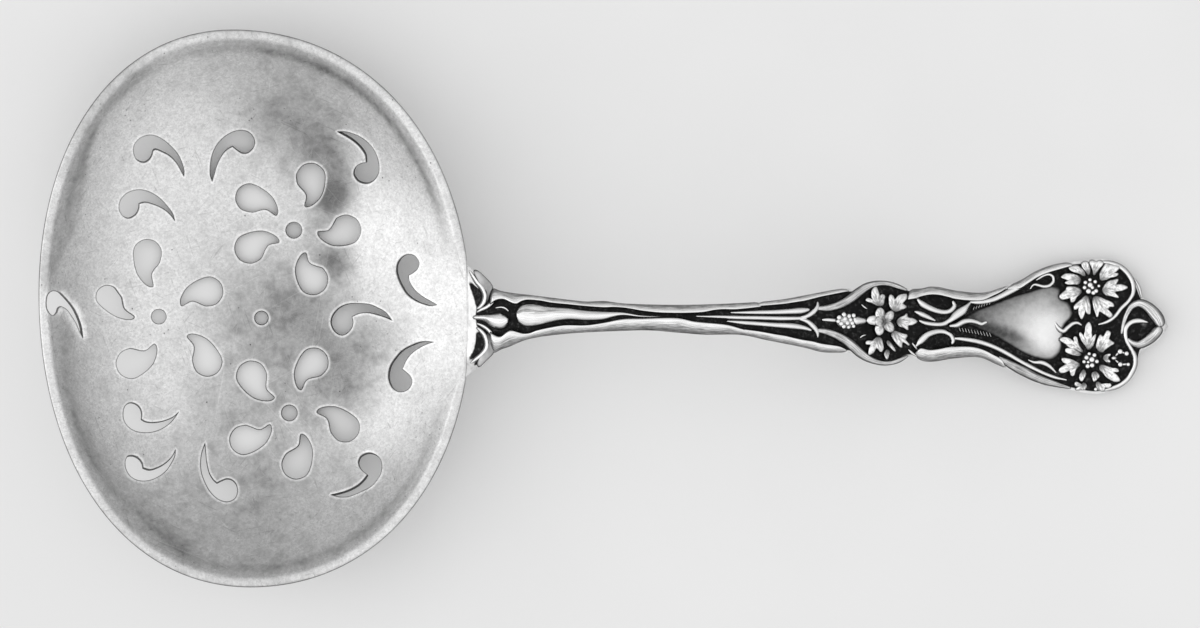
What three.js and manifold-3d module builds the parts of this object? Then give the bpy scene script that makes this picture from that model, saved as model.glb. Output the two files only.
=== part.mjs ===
// A bonbon spoon in sterling silver: a wide oval bowl pierced with flowers and commas, and a
// die-struck handle whose scrolls, blossoms and shield stand in relief on a plain arched blank.
// Millimetres, +X towards the handle's tip, +Z up, z = 0 on the table.

import * as THREE from 'three';
import { mergeVertices } from 'three/addons/utils/BufferGeometryUtils.js';
import Module from 'manifold-3d';

const wasm = await Module();
wasm.setup();

// Bowl
const bowlLength = 47.75;
const bowlWidth = 61.6;
const bowlWallHeight = 7.9;
const bowlSheet = 0.9;
const bowlFloorShare = 0.42;
const bowlWallCurve = 2.25;
const neckFloorShare = 0.28;
const neckWallCurve = 1.4;
const neckRampAngle = 1.1;
const bowlBulge = 0.59;
const bowlCrownShare = 0.552;
const bowlKeelShare = 0.51;
const bowlFrontShare = 0.026;
const bowlNeckShare = -0.0146;
const lipWidth = 1.0;
const neckX = -14.75;

// Handle
const handleLength = 77.25;
const archShare = 0.3074;
const settleShare = 0.9159;
const neckStep = 0.8;
const archHeight = 14;
const blankThickness = 1.75;
const blankEdge = 0.5;
const blankCrown = 0.4;
const seamGap = 0.15;

// Relief on the handle
const strapRise = 0.85;
const stemRise = 0.6;
const vineRise = 0.45;
const shieldRise = 0.75;
const petalRise = 0.5;
const floretRoot = 0.76;
const heartRise = 0.75;
const beadShare = 0.39;
const reliefEdge = 0.12;
const reliefStep = 1.15;
const seatGap = 0.1;
const sideGap = 0.1;
const strapMargin = 0.06;

const rimHeight = bowlSheet + bowlWallHeight;
const bowlCentre = new THREE.Vector2(neckX - bowlLength / 2, 0);

// The ornament is drawn for a bowl 47.75 long and 61.6 wide and a handle 77.25 long that meet at
// x = -14.75, and it follows them when they change.
const bowlStretch = bowlLength / 47.75;
const bowlSpread = bowlWidth / 61.6;
const holeScale = Math.sqrt(bowlStretch * bowlSpread);
const handleScale = handleLength / 77.25;

function onBowl([x, y]) {
  return new THREE.Vector2(neckX + (x + 14.75) * bowlStretch, y * bowlSpread);
}

function onHandle([x, y, width = 0]) {
  return new THREE.Vector3(neckX + (x + 14.75) * handleScale, y * handleScale, width * handleScale);
}

// Solids

function solidOf(geometry) {
  geometry.deleteAttribute('normal');
  geometry.deleteAttribute('uv');
  const merged = mergeVertices(geometry);
  const vertProperties = new Float32Array(merged.attributes.position.array);
  const triVerts = new Uint32Array(merged.index.array);
  return new wasm.Manifold(new wasm.Mesh({ numProp: 3, vertProperties, triVerts }));
}

function geometryOf(solid) {
  const mesh = solid.getMesh();
  const geometry = new THREE.BufferGeometry();
  geometry.setAttribute('position', new THREE.BufferAttribute(mesh.vertProperties, 3));
  geometry.setIndex(new THREE.BufferAttribute(mesh.triVerts, 1));
  geometry.computeVertexNormals();
  return geometry;
}

function joined(solids) {
  return solids.reduce((sum, solid) => sum.add(solid));
}

function largestOf(solid) {
  const bodies = solid.decompose();
  return bodies.reduce((best, body) => (body.volume() > best.volume() ? body : best));
}

// A closed skin through a row of rings; a ring of one point closes an end.
function loft(rings) {
  const positions = [];
  const starts = rings.map((ring) => {
    const start = positions.length / 3;
    ring.forEach((point) => positions.push(point.x, point.y, point.z));
    return start;
  });
  const count = Math.max(...rings.map((ring) => ring.length));
  const indices = [];
  for (let k = 0; k + 1 < rings.length; k += 1) {
    const lower = (j) => starts[k] + (rings[k].length > 1 ? j % count : 0);
    const upper = (j) => starts[k + 1] + (rings[k + 1].length > 1 ? j % count : 0);
    for (let j = 0; j < count; j += 1) {
      if (rings[k].length > 1) indices.push(lower(j), lower(j + 1), upper(j + 1));
      if (rings[k + 1].length > 1) indices.push(lower(j), upper(j + 1), upper(j));
    }
  }
  const geometry = new THREE.BufferGeometry();
  geometry.setAttribute('position', new THREE.Float32BufferAttribute(positions, 3));
  geometry.setIndex(indices);
  return solidOf(geometry);
}

function prism(outline, bottom, top) {
  const geometry = new THREE.ExtrudeGeometry(new THREE.Shape(outline), {
    depth: top - bottom,
    bevelEnabled: false,
  });
  geometry.translate(0, 0, bottom);
  return solidOf(geometry);
}

// Bowl outline: four quarters between its front, crown, neck and keel, whose places are shares of
// the bowl's length from the neck and of its width from the middle

function quarter(side, end) {
  const sideHandle = new THREE.Vector2(side.x + (end.x - side.x) * bowlBulge, side.y);
  const endHandle = new THREE.Vector2(end.x, end.y + (side.y - end.y) * bowlBulge);
  return new THREE.CubicBezierCurve(side, sideHandle, endHandle, end);
}

function bowlOutline(pointsPerQuarter) {
  const crown = new THREE.Vector2(neckX - bowlLength * bowlCrownShare, bowlWidth / 2);
  const keel = new THREE.Vector2(neckX - bowlLength * bowlKeelShare, -bowlWidth / 2);
  const front = new THREE.Vector2(neckX - bowlLength, bowlWidth * bowlFrontShare);
  const neck = new THREE.Vector2(neckX, bowlWidth * bowlNeckShare);
  const fromNeck = quarter(crown, neck).getPoints(pointsPerQuarter).reverse().slice(0, -1);
  const fromCrown = quarter(crown, front).getPoints(pointsPerQuarter).slice(0, -1);
  const fromFront = quarter(keel, front).getPoints(pointsPerQuarter).reverse().slice(0, -1);
  const fromKeel = quarter(keel, neck).getPoints(pointsPerQuarter).slice(0, -1);
  return [...fromNeck, ...fromCrown, ...fromFront, ...fromKeel];
}

function bowlShell() {
  const outline = bowlOutline(16);
  const climbs = [0, 0.25, 0.45, 0.65, 0.83, 1];
  const wallRing = (climb, outside) =>
    outline.map((edge) => {
      const spoke = edge.clone().sub(bowlCentre);
      const radius = spoke.length();
      // The wall is a gentle ramp towards the neck
      const ramp = THREE.MathUtils.smoothstep(Math.abs(spoke.y / radius), 0, Math.sin(neckRampAngle));
      const ease = spoke.x > 0 ? ramp : 1;
      const foot = radius * THREE.MathUtils.lerp(neckFloorShare, bowlFloorShare, ease);
      const curve = THREE.MathUtils.lerp(neckWallCurve, bowlWallCurve, ease);
      const run = radius - lipWidth - foot;
      const slope = (bowlWallHeight * curve * climb ** (curve - 1)) / run;
      const flat = spoke.setLength(foot + run * climb).add(bowlCentre);
      const height = bowlSheet + bowlWallHeight * climb ** curve;
      const drop = outside ? bowlSheet * Math.hypot(1, slope) : 0;
      return new THREE.Vector3(flat.x, flat.y, height - drop);
    });
  const lipRing = (height) => outline.map((edge) => new THREE.Vector3(edge.x, edge.y, height));
  const outer = climbs.map((climb) => wallRing(climb, true));
  const inner = climbs.map((climb) => wallRing(climb, false)).reverse();
  return loft([
    [new THREE.Vector3(bowlCentre.x, bowlCentre.y, 0)],
    ...outer,
    lipRing(rimHeight - bowlSheet),
    lipRing(rimHeight),
    ...inner,
    [new THREE.Vector3(bowlCentre.x, bowlCentre.y, bowlSheet)],
  ]);
}

// Piercings. A comma has a round head, the corner where its hollow side leaves the head, the
// furthest point of its round side and the tip of its tail.
const commas = [
  { head: [-51.3, 17.2], radius: 1.0, corner: [-50.1, 17.5], bulge: [-50.2, 19.2], tip: [-46.6, 14.6] },
  { head: [-52.7, 11.2], radius: 1.1, corner: [-51.5, 11.8], bulge: [-51.7, 13.2], tip: [-47.7, 9.7] },
  { head: [-40.2, 18.4], radius: 1.15, corner: [-41.3, 17.9], bulge: [-43.1, 17.6], tip: [-43.6, 14.0] },
  { head: [-26.5, 15.2], radius: 1.3, corner: [-26.9, 16.3], bulge: [-26.0, 18.2], tip: [-29.7, 19.6] },
  { head: [-21.5, 5.0], radius: 1.0, corner: [-21.7, 3.6], bulge: [-23.0, 3.9], tip: [-18.4, 0.4] },
  { head: [-29.2, -1.7], radius: 1.15, corner: [-28.0, -1.1], bulge: [-28.1, 0.6], tip: [-23.5, -1.4] },
  { head: [-22.6, -8.0], radius: 1.15, corner: [-22.2, -6.7], bulge: [-23.9, -7.0], tip: [-18.8, -3.65] },
  { head: [-26.1, -17.1], radius: 1.2, corner: [-26.6, -18.3], bulge: [-25.2, -18.9], tip: [-30.5, -20.6] },
  { head: [-52.4, -11.4], radius: 1.05, corner: [-51.3, -12.1], bulge: [-50.6, -13.8], tip: [-47.2, -11.5] },
  { head: [-52.1, -17.1], radius: 1.0, corner: [-51.1, -17.6], bulge: [-50.6, -19.0], tip: [-47.6, -15.6] },
  { head: [-41.9, -19.9], radius: 1.15, corner: [-43.0, -19.3], bulge: [-44.5, -19.2], tip: [-44.4, -14.9] },
  { head: [-60.9, 0.55], radius: 0.9, corner: [-60.3, 0.1], bulge: [-60.2, 1.7], tip: [-57.8, -3.4] },
];

// A petal has the centre of its round end, that end's radius, its tip and the side that is hollow.
const leftHollow = 1;
const rightHollow = -1;
const petals = [
  { head: [-32.6, 14.5], radius: 1.65, tip: [-33.0, 11.2], hollow: rightHollow },
  { head: [-28.7, 8.7], radius: 1.7, tip: [-31.9, 8.2], hollow: rightHollow },
  { head: [-32.4, 3.2], radius: 1.7, tip: [-33.5, 6.2], hollow: rightHollow },
  { head: [-39.4, 6.7], radius: 1.7, tip: [-36.1, 7.7], hollow: rightHollow },
  { head: [-39.4, 12.3], radius: 1.6, tip: [-36.2, 10.5], hollow: rightHollow },
  { head: [-50.75, 6.1], radius: 1.6, tip: [-50.4, 2.3], hollow: leftHollow },
  { head: [-44.0, 1.9], radius: 1.65, tip: [-47.2, 0.5], hollow: leftHollow },
  { head: [-44.1, -5.9], radius: 1.65, tip: [-46.2, -2.8], hollow: leftHollow },
  { head: [-52.5, -6.1], radius: 1.7, tip: [-49.7, -4.1], hollow: leftHollow },
  { head: [-54.9, 1.3], radius: 1.5, tip: [-52.2, -1.2], hollow: leftHollow },
  { head: [-32.3, -6.0], radius: 1.65, tip: [-34.0, -9.0], hollow: leftHollow },
  { head: [-28.8, -13.2], radius: 1.65, tip: [-31.9, -11.2], hollow: leftHollow },
  { head: [-34.2, -17.3], radius: 1.65, tip: [-33.4, -13.9], hollow: leftHollow },
  { head: [-40.0, -14.6], radius: 1.65, tip: [-36.9, -13.1], hollow: leftHollow },
  { head: [-39.2, -7.5], radius: 1.7, tip: [-36.8, -10.2], hollow: leftHollow },
];

const dots = [
  { head: [-34.5, 8.7], radius: 0.92 },
  { head: [-49.5, -0.9], radius: 0.85 },
  { head: [-35.0, -11.6], radius: 0.9 },
  { head: [-38.1, -1.05], radius: 0.78 },
];

function roundLoop(points, count) {
  const corners = points.map((point) => new THREE.Vector3(point.x, point.y, 0));
  return new THREE.CatmullRomCurve3(corners, true).getPoints(count).slice(0, -1);
}

function arcPoints(centre, radius, from, sweep, steps) {
  return Array.from({ length: steps + 1 }, (_, i) => {
    const angle = from + (sweep * i) / steps;
    return new THREE.Vector2(centre.x + radius * Math.cos(angle), centre.y + radius * Math.sin(angle));
  });
}

function commaOutline({ head, radius, corner, bulge, tip }) {
  const fullTurn = 2 * Math.PI;
  const wrap = (angle) => ((angle % fullTurn) + fullTurn) % fullTurn;
  const [centre, inner, outer, end] = [head, corner, bulge, tip].map(onBowl);
  const bearing = (point) => Math.atan2(point.y - centre.y, point.x - centre.x);
  const toBulge = wrap(bearing(outer) - bearing(inner));
  const toTip = wrap(bearing(end) - bearing(inner));
  const sweep = toTip < toBulge ? toBulge : toBulge - fullTurn;
  const headArc = arcPoints(centre, radius * holeScale, bearing(inner), sweep * 0.66, 6).slice(1);
  const shoulder = outer.clone().lerp(end, 0.45).add(outer.clone().sub(inner).multiplyScalar(0.3));
  const back = new THREE.SplineCurve([headArc[headArc.length - 1], outer, shoulder, end]).getPoints(7);
  const middle = end.clone().lerp(inner, 0.5).lerp(outer, 0.26);
  const hollow = new THREE.SplineCurve([end, middle, inner]).getPoints(4).slice(1);
  return [...headArc, ...back.slice(1), ...hollow];
}

function petalOutline({ head, radius: drawnRadius, tip, hollow }) {
  const radius = drawnRadius * holeScale;
  const centre = onBowl(head);
  const along = onBowl(tip).sub(centre);
  const reach = along.length();
  along.normalize();
  const across = new THREE.Vector2(-along.y, along.x).multiplyScalar(-hollow);
  const at = (forward, aside) =>
    centre.clone().addScaledVector(along, forward).addScaledVector(across, aside * radius);
  const rear = [80, 125, 170, 215, 260, 300].map((degrees) => {
    const angle = THREE.MathUtils.degToRad(degrees);
    return at(radius * Math.cos(angle), Math.sin(angle));
  });
  const nose = [at(reach * 0.7, -0.28), at(reach * 0.97, -0.2), at(reach * 0.95, 0.16), at(reach * 0.6, 0.8)];
  return roundLoop([...rear, ...nose], 16).map((point) => new THREE.Vector2(point.x, point.y));
}

function dotOutline({ head, radius }) {
  return arcPoints(onBowl(head), radius * holeScale, 0, 2 * Math.PI, 12).slice(0, -1);
}

function bowlSolid() {
  const outlines = [...commas.map(commaOutline), ...petals.map(petalOutline), ...dots.map(dotOutline)];
  return outlines.reduce(
    (shell, outline) => shell.subtract(prism(outline, -1, rimHeight + 1)),
    bowlShell(),
  );
}

// Handle blank: its outline from above, its arch and its crown

const upperEdge = [
  [-17, 6.6], [-15.4, 5.2], [-14.4, 4.3], [-13.3, 3.4], [-12, 2.15], [-10.5, 1.75], [-8, 1.45], [-4, 0.95],
  [-2, 0.75], [0, 0.8], [2, 0.55], [8, 0.38], [14, 0.54], [18, 0.8], [20, 1.05], [22, 1.42], [24, 1.8],
  [26, 2.15], [28.5, 2.3], [29.3, 2.85], [31, 3], [32, 2.9], [33.8, 2.2], [35, 2.2], [36, 2.4], [37, 2.35],
  [39, 1.95], [42, 1.75], [44, 2.3], [46, 3.05], [48, 4.2], [50, 4.9], [53, 5.3], [55, 5.5], [56.5, 5.2],
  [57.5, 4.8], [58.3, 3.9], [58.9, 2.9], [59.6, 1.3], [60.3, 0.9], [61, 0.3], [61.7, -0.4], [62.2, -1.2],
  [62.5, -1.9],
].map(onHandle);

const lowerEdge = [
  [-17, -9.6], [-15.2, -7.9], [-14.3, -6.9], [-13, -5.7], [-11.6, -4.6], [-10.5, -4.2], [-8.5, -3.4],
  [-4.5, -2.8], [2, -2.45], [5, -2.4], [8, -2.64], [11, -2.87], [15, -2.9], [18, -3.5], [22, -4.3], [24, -4.8],
  [27.3, -5], [29, -5.9], [31, -6.35], [33.7, -5.4], [35.5, -5.85], [36.5, -5.85], [38.5, -5.55], [41.5, -5.4],
  [43.5, -6.2], [46, -7.35], [48, -8.3], [50, -8.75], [52, -9.1], [54.5, -9.5], [56.7, -9], [57.7, -8.5],
  [58.6, -7.8], [59, -6.8], [59.2, -5.8], [59.4, -4.9], [60, -4.5], [60.8, -4], [61.6, -3.4], [62.2, -2.7],
  [62.5, -1.9],
].map(onHandle);

const tipX = neckX + handleLength;

function heightAlong(line, x) {
  const next = line.findIndex((point) => point.x > x);
  if (next < 0) return line[line.length - 1].y;
  if (next === 0) return line[0].y;
  const [from, to] = [line[next - 1], line[next]];
  return THREE.MathUtils.mapLinear(x, from.x, to.x, from.y, to.y);
}

// The arch rises from the neck as a quarter of a sine and settles to the table as half a cosine.
function spineHeight(x) {
  const neckTop = rimHeight + neckStep;
  const peakX = neckX + handleLength * archShare;
  const restX = neckX + handleLength * settleShare;
  if (x < peakX) {
    const share = (x - neckX) / (peakX - neckX);
    return neckTop + (archHeight - neckTop) * Math.sin((share * Math.PI) / 2);
  }
  const share = Math.min(1, (x - peakX) / (restX - peakX));
  return blankThickness + (archHeight - blankThickness) * (0.5 + 0.5 * Math.cos(share * Math.PI));
}

function topHeight(x, y) {
  const upper = heightAlong(upperEdge, x);
  const lower = heightAlong(lowerEdge, x);
  const half = Math.max(0.2, (upper - lower) / 2);
  const offset = THREE.MathUtils.clamp((y - (upper + lower) / 2) / half, -1.2, 1.2);
  return spineHeight(x) - blankCrown * offset * offset;
}

function blankRing(x) {
  const upper = heightAlong(upperEdge, x);
  const lower = heightAlong(lowerEdge, x);
  const acrossAt = (share) => (upper + lower) / 2 + (share * (upper - lower)) / 2;
  const underside = Math.max(0, spineHeight(x) - blankThickness);
  const edgeHeight = spineHeight(x) - blankCrown - blankEdge;
  const top = [1, 0.5, 0, -0.5, -1].map((share) => {
    const y = acrossAt(share);
    return new THREE.Vector3(x, y, topHeight(x, y));
  });
  const under = [-0.62, 0, 0.62].map((share) => new THREE.Vector3(x, acrossAt(share), underside));
  return [
    ...top,
    new THREE.Vector3(x, lower, edgeHeight),
    ...under,
    new THREE.Vector3(x, upper, edgeHeight),
  ];
}

function blankSolid() {
  const startX = neckX - 1.6;
  const endX = tipX - 0.25;
  const steps = 56;
  const rings = Array.from({ length: steps + 1 }, (_, i) =>
    blankRing(THREE.MathUtils.lerp(startX, endX, i / steps)),
  );
  const midHeight = (x) => spineHeight(x) - blankThickness / 2;
  const start = new THREE.Vector3(startX, heightAlong(upperEdge, startX) - 7, midHeight(startX));
  const end = new THREE.Vector3(tipX, heightAlong(upperEdge, tipX), midHeight(tipX));
  const whole = loft([[start], ...rings, [end]]);
  return whole.subtract(prism(rimOutline(), -1, archHeight + 1));
}

function rimOutline() {
  return bowlOutline(24).map((edge) => {
    const spoke = edge.clone().sub(bowlCentre);
    return spoke.setLength(spoke.length() + seamGap).add(bowlCentre);
  });
}

// Relief. A band lies on the handle between a left and a right line, with its crest at a share of
// the way across. Grown, it is the room that the pieces beneath it leave for it.
function band(left, right, { rise, crest = 0.5 }, room = 0) {
  const last = left.length - 1;
  const rings = left.map((start, i) => {
    const finish = right[i];
    if (i === 0 || i === last) {
      const inward = i === 0 ? 1 : last - 1;
      const away = start.clone().sub(left[inward].clone().lerp(right[inward], 0.5));
      const point = start.clone().add(away.setLength(room));
      return [new THREE.Vector3(point.x, point.y, topHeight(point.x, point.y) + seatGap + reliefEdge / 2)];
    }
    const across = finish.clone().sub(start);
    const height = Math.min(rise, across.length()) + room;
    const side = across.clone().setLength(room);
    const from = start.clone().sub(side);
    const to = finish.clone().add(side);
    const at = (share, lift) => {
      const point = from.clone().lerp(to, share);
      return new THREE.Vector3(point.x, point.y, topHeight(point.x, point.y) + seatGap + lift);
    };
    const foot = room > 0 ? -1 : 0;
    return [
      at(0, reliefEdge + room),
      at(crest / 2, height * 0.78),
      at(crest, height),
      at((1 + crest) / 2, height * 0.78),
      at(1, reliefEdge + room),
      at(1, foot),
      at(0, foot),
    ];
  });
  return loft(rings);
}

function piece(name, finish, build) {
  return { name, finish, solid: build(0), envelope: build(sideGap) };
}

function sampled(points) {
  const curve = new THREE.CatmullRomCurve3(points.map(onHandle), false, 'centripetal');
  return curve.getPoints(Math.max(4, Math.round(curve.getLength() / reliefStep)));
}

// A ribbon follows a centre line of points, each with its half width.
function ribbonSolid(points, form, room) {
  const line = sampled(points);
  const edge = (side) =>
    line.map((point, i) => {
      const before = line[Math.max(0, i - 1)];
      const after = line[Math.min(line.length - 1, i + 1)];
      const normal = new THREE.Vector2(before.y - after.y, after.x - before.x).normalize();
      const half = i === 0 || i === line.length - 1 ? 0 : Math.max(0.08, point.z) * side;
      return new THREE.Vector2(point.x, point.y).addScaledVector(normal, half);
    });
  return band(edge(1), edge(-1), form, room);
}

function ribbon(name, rise, points, crest) {
  return piece(name, bright, (room) => ribbonSolid(points, { rise, crest }, room));
}

function branched(name, rise, branches) {
  return piece(name, bright, (room) =>
    joined(branches.map((points) => ribbonSolid(points, { rise }, room))),
  );
}

// A strap runs along one edge of the handle, from its inner line out to the silhouette.
function strap(name, rise, edge, innerPoints) {
  const inner = innerPoints.map(onHandle);
  const side = edge === upperEdge ? 1 : -1;
  const [from, to] = [inner[0].x, inner[inner.length - 1].x];
  const steps = Math.round((to - from) / reliefStep);
  const xs = Array.from({ length: steps + 1 }, (_, i) => from + ((to - from) * i) / steps);
  const innerLine = xs.map((x) => new THREE.Vector2(x, heightAlong(inner, x)));
  const outerLine = xs.map((x, i) => {
    const y = heightAlong(edge, x) - side * strapMargin;
    const clear = innerLine[i].y + side * 0.2;
    return new THREE.Vector2(x, side > 0 ? Math.max(y, clear) : Math.min(y, clear));
  });
  [0, steps].forEach((i) => outerLine[i].copy(innerLine[i]));
  const [left, right] = side > 0 ? [outerLine, innerLine] : [innerLine, outerLine];
  const crest = side > 0 ? 0.74 : 0.26;
  return piece(name, bright, (room) => band(left, right, { rise, crest }, room));
}

// A pad is a low dome over an outline that its centre sees all of.
function padSolid(outline, { rise, rings = [1] }, room) {
  const flat = outline.map((point) => new THREE.Vector2(point.x, point.y));
  const centre = flat.reduce((sum, point) => sum.add(point), new THREE.Vector2()).divideScalar(flat.length);
  const turned = THREE.ShapeUtils.area(flat) < 0 ? flat.reverse() : flat;
  const foot = room > 0 ? -1 : 0;
  const at = (point, share, lift) => {
    const spoke = point.clone().sub(centre);
    const spot = centre.clone().add(spoke.setLength(spoke.length() * share + (share === 1 ? room : 0)));
    return new THREE.Vector3(spot.x, spot.y, topHeight(spot.x, spot.y) + seatGap + lift);
  };
  const domed = (share) => reliefEdge + (rise - reliefEdge) * (1 - share * share) + room;
  const under = rings.map((share) => turned.map((point) => at(point, share, foot))).reverse();
  const over = rings.map((share) => turned.map((point) => at(point, share, domed(share))));
  const floor = at(turned[0], 0, foot);
  return loft([[floor], ...under, ...over, [at(turned[0], 0, domed(0))]]);
}

function circleOf([x, y], radius, count) {
  return Array.from({ length: count }, (_, i) => {
    const angle = (2 * Math.PI * i) / count;
    return onHandle([x + radius * Math.cos(angle), y + radius * Math.sin(angle)]);
  });
}

function bead([x, y], drawnRadius, room) {
  const spot = onHandle([x, y]);
  const radius = drawnRadius * handleScale + room;
  const geometry = new THREE.SphereGeometry(1, 7, 5);
  geometry.rotateX(Math.PI / 2);
  geometry.scale(radius, radius, heartRise * 0.45 + room);
  geometry.translate(spot.x, spot.y, topHeight(spot.x, spot.y) + seatGap + heartRise * 0.55);
  return solidOf(geometry);
}

// A boss is a low dome with one bead in its middle and a ring of beads round it.
function bossSolid(centre, radius, count, room) {
  const dome = padSolid(circleOf(centre, radius, 10), { rise: heartRise * 0.7, rings: [1, 0.6] }, room);
  const ring = Array.from({ length: count }, (_, i) => {
    const angle = (2 * Math.PI * i) / count;
    const reach = radius * 0.58;
    return [centre[0] + reach * Math.cos(angle), centre[1] + reach * Math.sin(angle)];
  });
  return joined([dome, ...[centre, ...ring].map((spot) => bead(spot, radius * beadShare, room))]);
}

function heart(name, centre, radius, count) {
  return piece(name, bright, (room) => bossSolid(centre, radius, count, room));
}

// A floret widens from its root to its lobes, with a notch between each two.
function floretSolid([root, ...tips], room) {
  const base = onHandle(root);
  const lobes = tips.map(onHandle);
  const middle = lobes.reduce((sum, lobe) => sum.add(lobe), new THREE.Vector3()).divideScalar(lobes.length);
  const out = middle.sub(base);
  const aside = new THREE.Vector3(-out.y, out.x, 0).setLength(floretRoot / 2);
  if (aside.dot(lobes[0].clone().sub(base)) < 0) aside.negate();
  const corners = [base.clone().add(aside)];
  lobes.forEach((lobe, i) => {
    if (i > 0) corners.push(lobe.clone().lerp(lobes[i - 1], 0.5).lerp(base, 0.16));
    corners.push(lobe);
  });
  corners.push(base.clone().sub(aside));
  const outline = roundLoop(corners, 14);
  return padSolid(outline, { rise: petalRise }, room);
}

function blossom(name, centre, radius, florets) {
  return piece(name, bright, (room) => {
    const disc = padSolid(circleOf(centre, radius, 12), { rise: petalRise * 0.7 }, room);
    return joined([disc, ...florets.map((points) => floretSolid(points, room))]);
  });
}

function shieldPiece() {
  const corners = [
    [41.2, -1.7], [43, 0.1], [44.9, 1], [47, 1.5], [49, 1.75], [50, 1.75], [50.3, 0.9], [51.5, 0.3], [51.7, -0.8],
    [50.8, -2], [50.6, -3.4], [50.5, -4.6], [50, -5.4], [48, -5.3], [46.5, -4.8], [45, -4.2], [43, -3.3],
  ].map(onHandle);
  const form = { rise: shieldRise, rings: [1, 0.86, 0.6, 0.3] };
  return piece('shield', bright, (room) => padSolid(roundLoop(corners, 24), form, room));
}

function shankLeaf() {
  const upper = [
    [-9.9, -0.5], [-9.3, 0.35], [-8.5, 0.55], [-7.5, 0.5], [-6.5, 0.3], [-4, 0.1], [-2, -0.15], [0, -0.25],
    [2, -0.4], [4, -0.75], [6.2, -0.9],
  ].map(onHandle);
  const lower = [
    [-9.9, -0.5], [-9.5, -1.6], [-8.9, -1.95], [-8, -2], [-7, -1.85], [-6, -1.6], [-4, -1.3], [-2, -1.4],
    [0, -1.3], [1, -1], [2, -0.8], [4, -0.95], [6.2, -0.9],
  ].map(onHandle);
  const [from, to] = [upper[0].x, upper[upper.length - 1].x];
  const steps = Math.round((to - from) / reliefStep);
  const line = (edge) =>
    Array.from({ length: steps + 1 }, (_, i) => {
      const x = from + ((to - from) * i) / steps;
      return new THREE.Vector2(x, heightAlong(edge, x));
    });
  return piece('shank_leaf', bright, (room) => band(line(upper), line(lower), { rise: stemRise }, room));
}

function budPiece() {
  const calyx = [[26.4, -1.4, 0.3], [27.6, -1.35, 0.6], [28.4, -1.35, 0.35], [29, -1.35, 0.15]];
  return piece('bud', bright, (room) =>
    joined([bossSolid([26.7, -1.4], 1, 6, room), ribbonSolid(calyx, { rise: stemRise }, room)]),
  );
}

// Finishes
const satin = new THREE.MeshStandardMaterial({ color: 0xb4b5b4, roughness: 0.38, metalness: 1 });
const bright = new THREE.MeshStandardMaterial({ color: 0xd6d7d6, roughness: 0.22, metalness: 1 });
const oxidised = new THREE.MeshStandardMaterial({ color: 0x4a4b4c, roughness: 0.5, metalness: 1 });

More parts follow.
